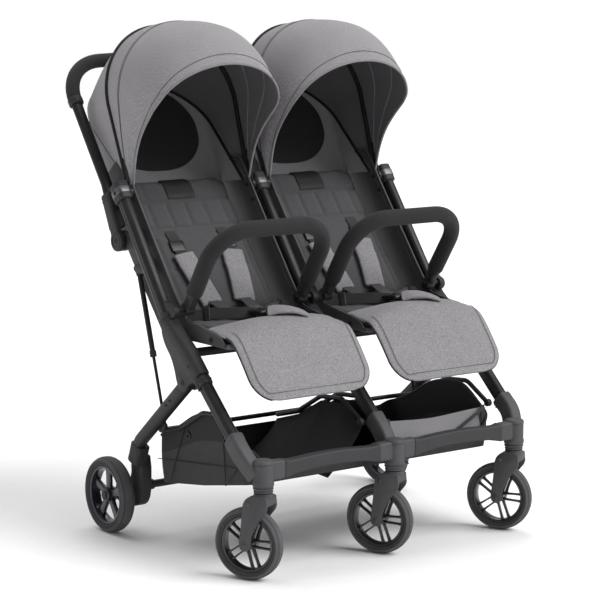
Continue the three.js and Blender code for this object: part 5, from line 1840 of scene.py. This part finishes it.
# ------------------------------------------------------------------------------------ basket
@dataclass
class Basket:
    """The basket under both seats: a sagging tub of cloth and mesh, its rails, its middle arches and its straps."""

    bench: Bench
    half: float = 308.0
    front: float = -351.0
    back: float = -4.0

    def rim_height(self, y: np.ndarray) -> np.ndarray:
        """The height of the side panels' upper edge: a hump towards the front."""
        top = curve([(-352, 236), (-325, 250), (-262, 291), (-205, 293), (-150, 280), (-90, 248), (-40, 226),
                     (-3, 214)], 80)
        return np.interp(y, top[:, 0], top[:, 1])

    def floor_height(self, y: np.ndarray, x: np.ndarray) -> np.ndarray:
        """The height of the floor: it falls towards the back and sags between the sides."""
        base = np.interp(y, [-352, -175, -10, 0], [176, 141, 116, 115])
        return base - 5 * (1 - (x / self.half) ** 2) * np.sin(np.pi * np.clip((y - self.front) / 347, 0, 1))

    def rim(self) -> tuple[np.ndarray, np.ndarray]:
        """The tub's upper edge: (x, y) points round a rounded rectangle, closed, and the height at each."""
        corners = [(-self.half, self.front), (self.half, self.front), (self.half, self.back), (-self.half, self.back)]
        loop = rounded(corners, 26, 8, loop=True)
        fine = even(np.vstack([loop, loop[:1]]), 289)
        side = ease((np.abs(fine[:, 0]) - (self.half - 30)) / 26)
        ends = np.where(fine[:, 1] < -170, 216.0, 206.0)
        return fine, side * self.rim_height(fine[:, 1]) + (1 - side) * ends

    def tub(self) -> Shape:
        """The tub: rings of a rounded rectangle, down the walls and in over the floor, with a thin wall."""
        fine, top = (made[:-1] for made in self.rim())
        x, y = fine[:, 0], fine[:, 1]
        centre = np.array([0.0, (self.front + self.back) / 2])
        depth = np.linspace(0, 1, 19)
        rows = []
        for t in depth:
            wall, floor = min(t / 0.5, 1.0), max(0.0, (t - 0.5) / 0.5)
            shrink = 1 - 0.015 * wall - 0.97 * floor
            px, py = centre[0] + (x - centre[0]) * shrink, centre[1] + (y - centre[1]) * shrink
            low = self.floor_height(py, px)
            belly = 3.0 * np.sin(np.pi * wall)
            out = 1 + belly / np.maximum(np.abs(x), 200) * (floor == 0)
            height = top + (low - top) * (wall ** 0.9 if floor == 0 else 1)
            rows.append(np.column_stack([px * out, py, height]))
        outer = np.array(rows)
        inner = outer.copy()
        inner[..., :2] = centre + (outer[..., :2] - centre) * (1 - 2.0 / 300)
        inner[..., 2] += 1.6 * ease((depth[:, None] - 0.3) / 0.2)
        grid = np.vstack([outer[::-1], inner])
        rows_count, columns = grid.shape[:2]
        ends = [np.arange(columns), np.arange(columns) + (rows_count - 1) * columns]
        girth = spans(fine)
        drop = np.concatenate([depth[::-1], depth])[:, None] * 220
        flat = np.stack(np.broadcast_arrays(girth[None, :], drop), axis=-1).reshape(-1, 2) * MM
        quads = lattice(rows_count, columns, ring=True)
        level = np.repeat(np.arange(rows_count - 1), columns)
        depth_of = np.concatenate([depth[::-1], depth])[level]
        marks = ((depth_of > 0.2) & (depth_of < 0.52)).astype(int)
        return Shape(grid.reshape(-1, 3), quads, ends, flat, marks)

    def trim(self) -> Shape:
        """The tape along the tub's rim, the diagonal seams and two eyelets on each side panel."""
        fine, top = self.rim()
        made = wire(np.column_stack([fine, top]), 3.0, 12)
        for sign in (-1, 1):
            face = sign * (self.half + 2.6)
            for seam in (((-335, 232), (-262, 158)), ((-262, 158), (-250, 285)), ((-120, 262), (-60, 132)),
                         ((-342, 205), (-12, 168))):
                start, end = np.array(seam[0]), np.array(seam[1])
                t = np.linspace(0, 1, 12)[:, None]
                made = made + wire(np.column_stack([np.full(12, face), start + (end - start) * t]), 1.0, 8)
            for eye in ((-262, 248), (-128, 236)):
                ring = [(3.2, 0.0), (3.8, 1.6), (6.4, 1.8), (8.0, 0.6), (8.0, -0.8), (3.2, -0.8)]
                made = made + turned([(r, face + sign * h) for r, h in ring], 0, (0.0, *eye), 24, loop=True).marked(1)
        return made

    def hoop(self, x: float, back: tuple[float, float]) -> np.ndarray:
        """The line of a hoop over the basket: up from the front legs, back and across."""
        def leg(side: int) -> list:
            """One side of the hoop, from the front."""
            return [(side * x, *p) for p in ((-330, 262), (-262, 300), (-190, 294), (-110, 250), back)]
        return rounded(leg(-1) + leg(1)[::-1], 34 if x > 100 else 20, 8)

    def build(self) -> None:
        """Builds the basket's pieces."""
        front = Body.FRONT.of()
        tub = self.bench.fit("basket_tub", self.tub(), [BASKET_CLOTH, BASKET_MESH], front, Slot.BASKET, ("basket",),
                             crease=70)
        self.bench.fit("basket_trim", self.trim(), [DARK_PIPING, JOINT], front, Slot.BASKET)
        for name, x, back, node in (("outer", 316.0, (-8.0, 226.0), "basket_rail"),
                                    ("middle", 22.0, (-22.0, 226.0), "basket_arch")):
            rail = tube(self.hoop(x, back), oval(10, count=20), (0, 0.5, 1), soft=1)
            for side in (-1, 1):
                rail = rail + peg(8, *band(side * (x - 3), side * (x + 7)), (-328, 262), 1.2).marked(1)
            self.bench.fit(f"basket_hoop_{name}", rail, [BLACK_TUBE, JOINT], front, Slot.TUBE, (node,))
        self.drapes(front)

    def drapes(self, front: str) -> None:
        """Builds the cloth over the middle arches, the pale inner panel and the black straps on it."""
        line_yz = rounded([(-326, 252), (-262, 290), (-190, 285), (-112, 243), (-30, 219)], 26, 8)
        t = np.linspace(0, 1, 15)
        for name, sign in SIDES.items():
            lean = t[:, None] ** 1.3
            grid = np.stack([
                np.broadcast_to(sign * (20 + 86 * lean), (15, len(line_yz))),
                np.broadcast_to(line_yz[None, :, 0], (15, len(line_yz))),
                line_yz[None, :, 1] + (150 + 10 * np.sin(line_yz[None, :, 0] / 60) - line_yz[None, :, 1]) * t[:, None],
            ], axis=-1)
            grid[..., 0] += sign * 5 * np.sin(line_yz[None, :, 0] / 26) * t[:, None] * (1 - t[:, None]) * 3
            piece = self.bench.fit(f"basket_drape_{name}", shell(grid, 1.4), [BASKET_CLOTH, BASKET_CLOTH, DARK_PIPING],
                                   front,
                                   Slot.BASKET, crease=70)
        u, v = np.meshgrid(np.linspace(30, 296, 41), np.linspace(0, 1, 13))
        height = 214 + 42 * v - 6 * np.sin(np.pi * (u - 30) / 266) * v
        grid = np.stack([u, -343 + 12 * v + 3 * np.sin(u / 31), height], axis=-1)
        piece = self.bench.fit("basket_inner_panel", shell(grid, 1.4), [BASKET_LINER, BASKET_LINER, DARK_PIPING], front,
                               Slot.BASKET, crease=70)
        straps = tube([(214, -352, 222), (292, -345, 258)], oval(9, 2, 5, 16), (0.9, 0, 0.4), soft=0.5)
        straps = straps + tube([(292, -346, 214), (293, -338, 262)], oval(12, 2, 5, 16), soft=0.5)
        straps = straps + tube([(40, -346, 216), (36, -338, 262)], oval(12, 2, 5, 16), soft=0.5)
        self.bench.fit("basket_straps", straps, [STRAP], front, Slot.BASKET)


# ------------------------------------------------------------------------------------ studio
@dataclass
class Studio:
    """The camera, the lights and the floor."""

    bench: Bench
    eye: tuple[float, float, float] = (-2534.1, -3548.3, 1121.9)
    heading: float = 36.31
    dip: float = 8.49
    lens: float = 123.2
    shift: float = -0.0062

    def camera(self) -> None:
        """Sets the camera: it looks along (sin h cos d, cos h cos d, -sin d), for heading h and dip d."""
        data = bpy.data.cameras.new("camera")
        data.lens, data.sensor_width, data.shift_x = self.lens, 36.0, self.shift
        data.clip_start, data.clip_end = 0.1, 60
        camera = bpy.data.objects.new("camera", data)
        camera.location = tuple(self.bench.metres(np.array(self.eye)))
        camera.rotation_euler = (math.radians(90 - self.dip), 0.0, -math.radians(self.heading))
        bpy.context.scene.collection.objects.link(camera)
        bpy.context.scene.camera = camera

    def lamp(self, name: str, place: tuple, spread: float, power: float) -> None:
        """Adds a broad soft light that shines from a place towards the stroller, spread over some degrees."""
        data = bpy.data.lights.new(name, "SUN")
        data.angle, data.energy = math.radians(spread), power
        lamp = bpy.data.objects.new(name, data)
        lamp.location = place
        aim = -np.array(place)
        lamp.rotation_euler = (math.acos(-aim[2] / np.linalg.norm(aim)), 0.0, math.atan2(aim[0], -aim[1]) + math.pi)
        bpy.context.scene.collection.objects.link(lamp)

    def floor(self) -> None:
        """Lays the pale floor, with a faint mottle."""
        data = bpy.data.meshes.new("floor")
        reach = 14.0
        data.from_pydata([(-reach, -reach, 0), (reach, -reach, 0), (reach, reach, 0), (-reach, reach, 0)], [],
                         [(0, 1, 2, 3)])
        floor = bpy.data.objects.new("floor", data)
        bpy.context.scene.collection.objects.link(floor)
        pale = Plain("pale_floor", linear(248, 248, 248), linear(252, 252, 252), (0.7, 0.8), 0.004, 0.00002)
        floor.data.materials.append(pale.make())

    def build(self) -> None:
        """Sets the camera, the lights, the floor and the pale surroundings."""
        self.camera()
        self.lamp("key", (1.9, -2.6, 3.0), 40, 2.6)
        self.lamp("back", (0.3, 1.6, 3.0), 60, 1.4)
        world = bpy.data.worlds.new("surroundings")
        world.use_nodes = True
        nodes = world.node_tree.nodes
        nodes["Background"].inputs["Color"].default_value = (1.0, 1.0, 1.0, 1.0)
        seen = nodes.new("ShaderNodeMapRange")  # bright where it is seen, softer as a light
        seen.inputs["To Min"].default_value, seen.inputs["To Max"].default_value = 0.42, 1.0
        world.node_tree.links.new(nodes.new("ShaderNodeLightPath").outputs["Is Camera Ray"], seen.inputs["Value"])
        world.node_tree.links.new(seen.outputs[0], nodes["Background"].inputs["Strength"])
        bpy.context.scene.view_settings.view_transform = "Standard"
        bpy.context.scene.world = world
        self.floor()


# ------------------------------------------------------------------------------------ making
def main() -> None:
    """Builds the stroller in order."""
    logging.basicConfig(level=logging.INFO, format="%(message)s", stream=sys.stdout)
    pivot = next(j for j in frame["joints"] if j["name"] == "canopy_fold_left")["pos_m"]
    bench = Bench(datum=pivot[1] - CLAMP[0] * MM)
    Studio(bench).build()
    FrontFrame(bench).build()
    Casters(bench).build()
    RearFrame(bench).build()
    Handle(bench).build()
    BumperBars(bench).build()
    twin = None
    for name, side in SIDES.items():
        seat = Seat(bench, name, side * FRAME_PITCH / 2)
        seat.build(twin)
        twin = twin or seat
        Canopy(bench, name, side * FRAME_PITCH / 2).build()
    Basket(bench).build()


if __name__ == "__main__":
    main()
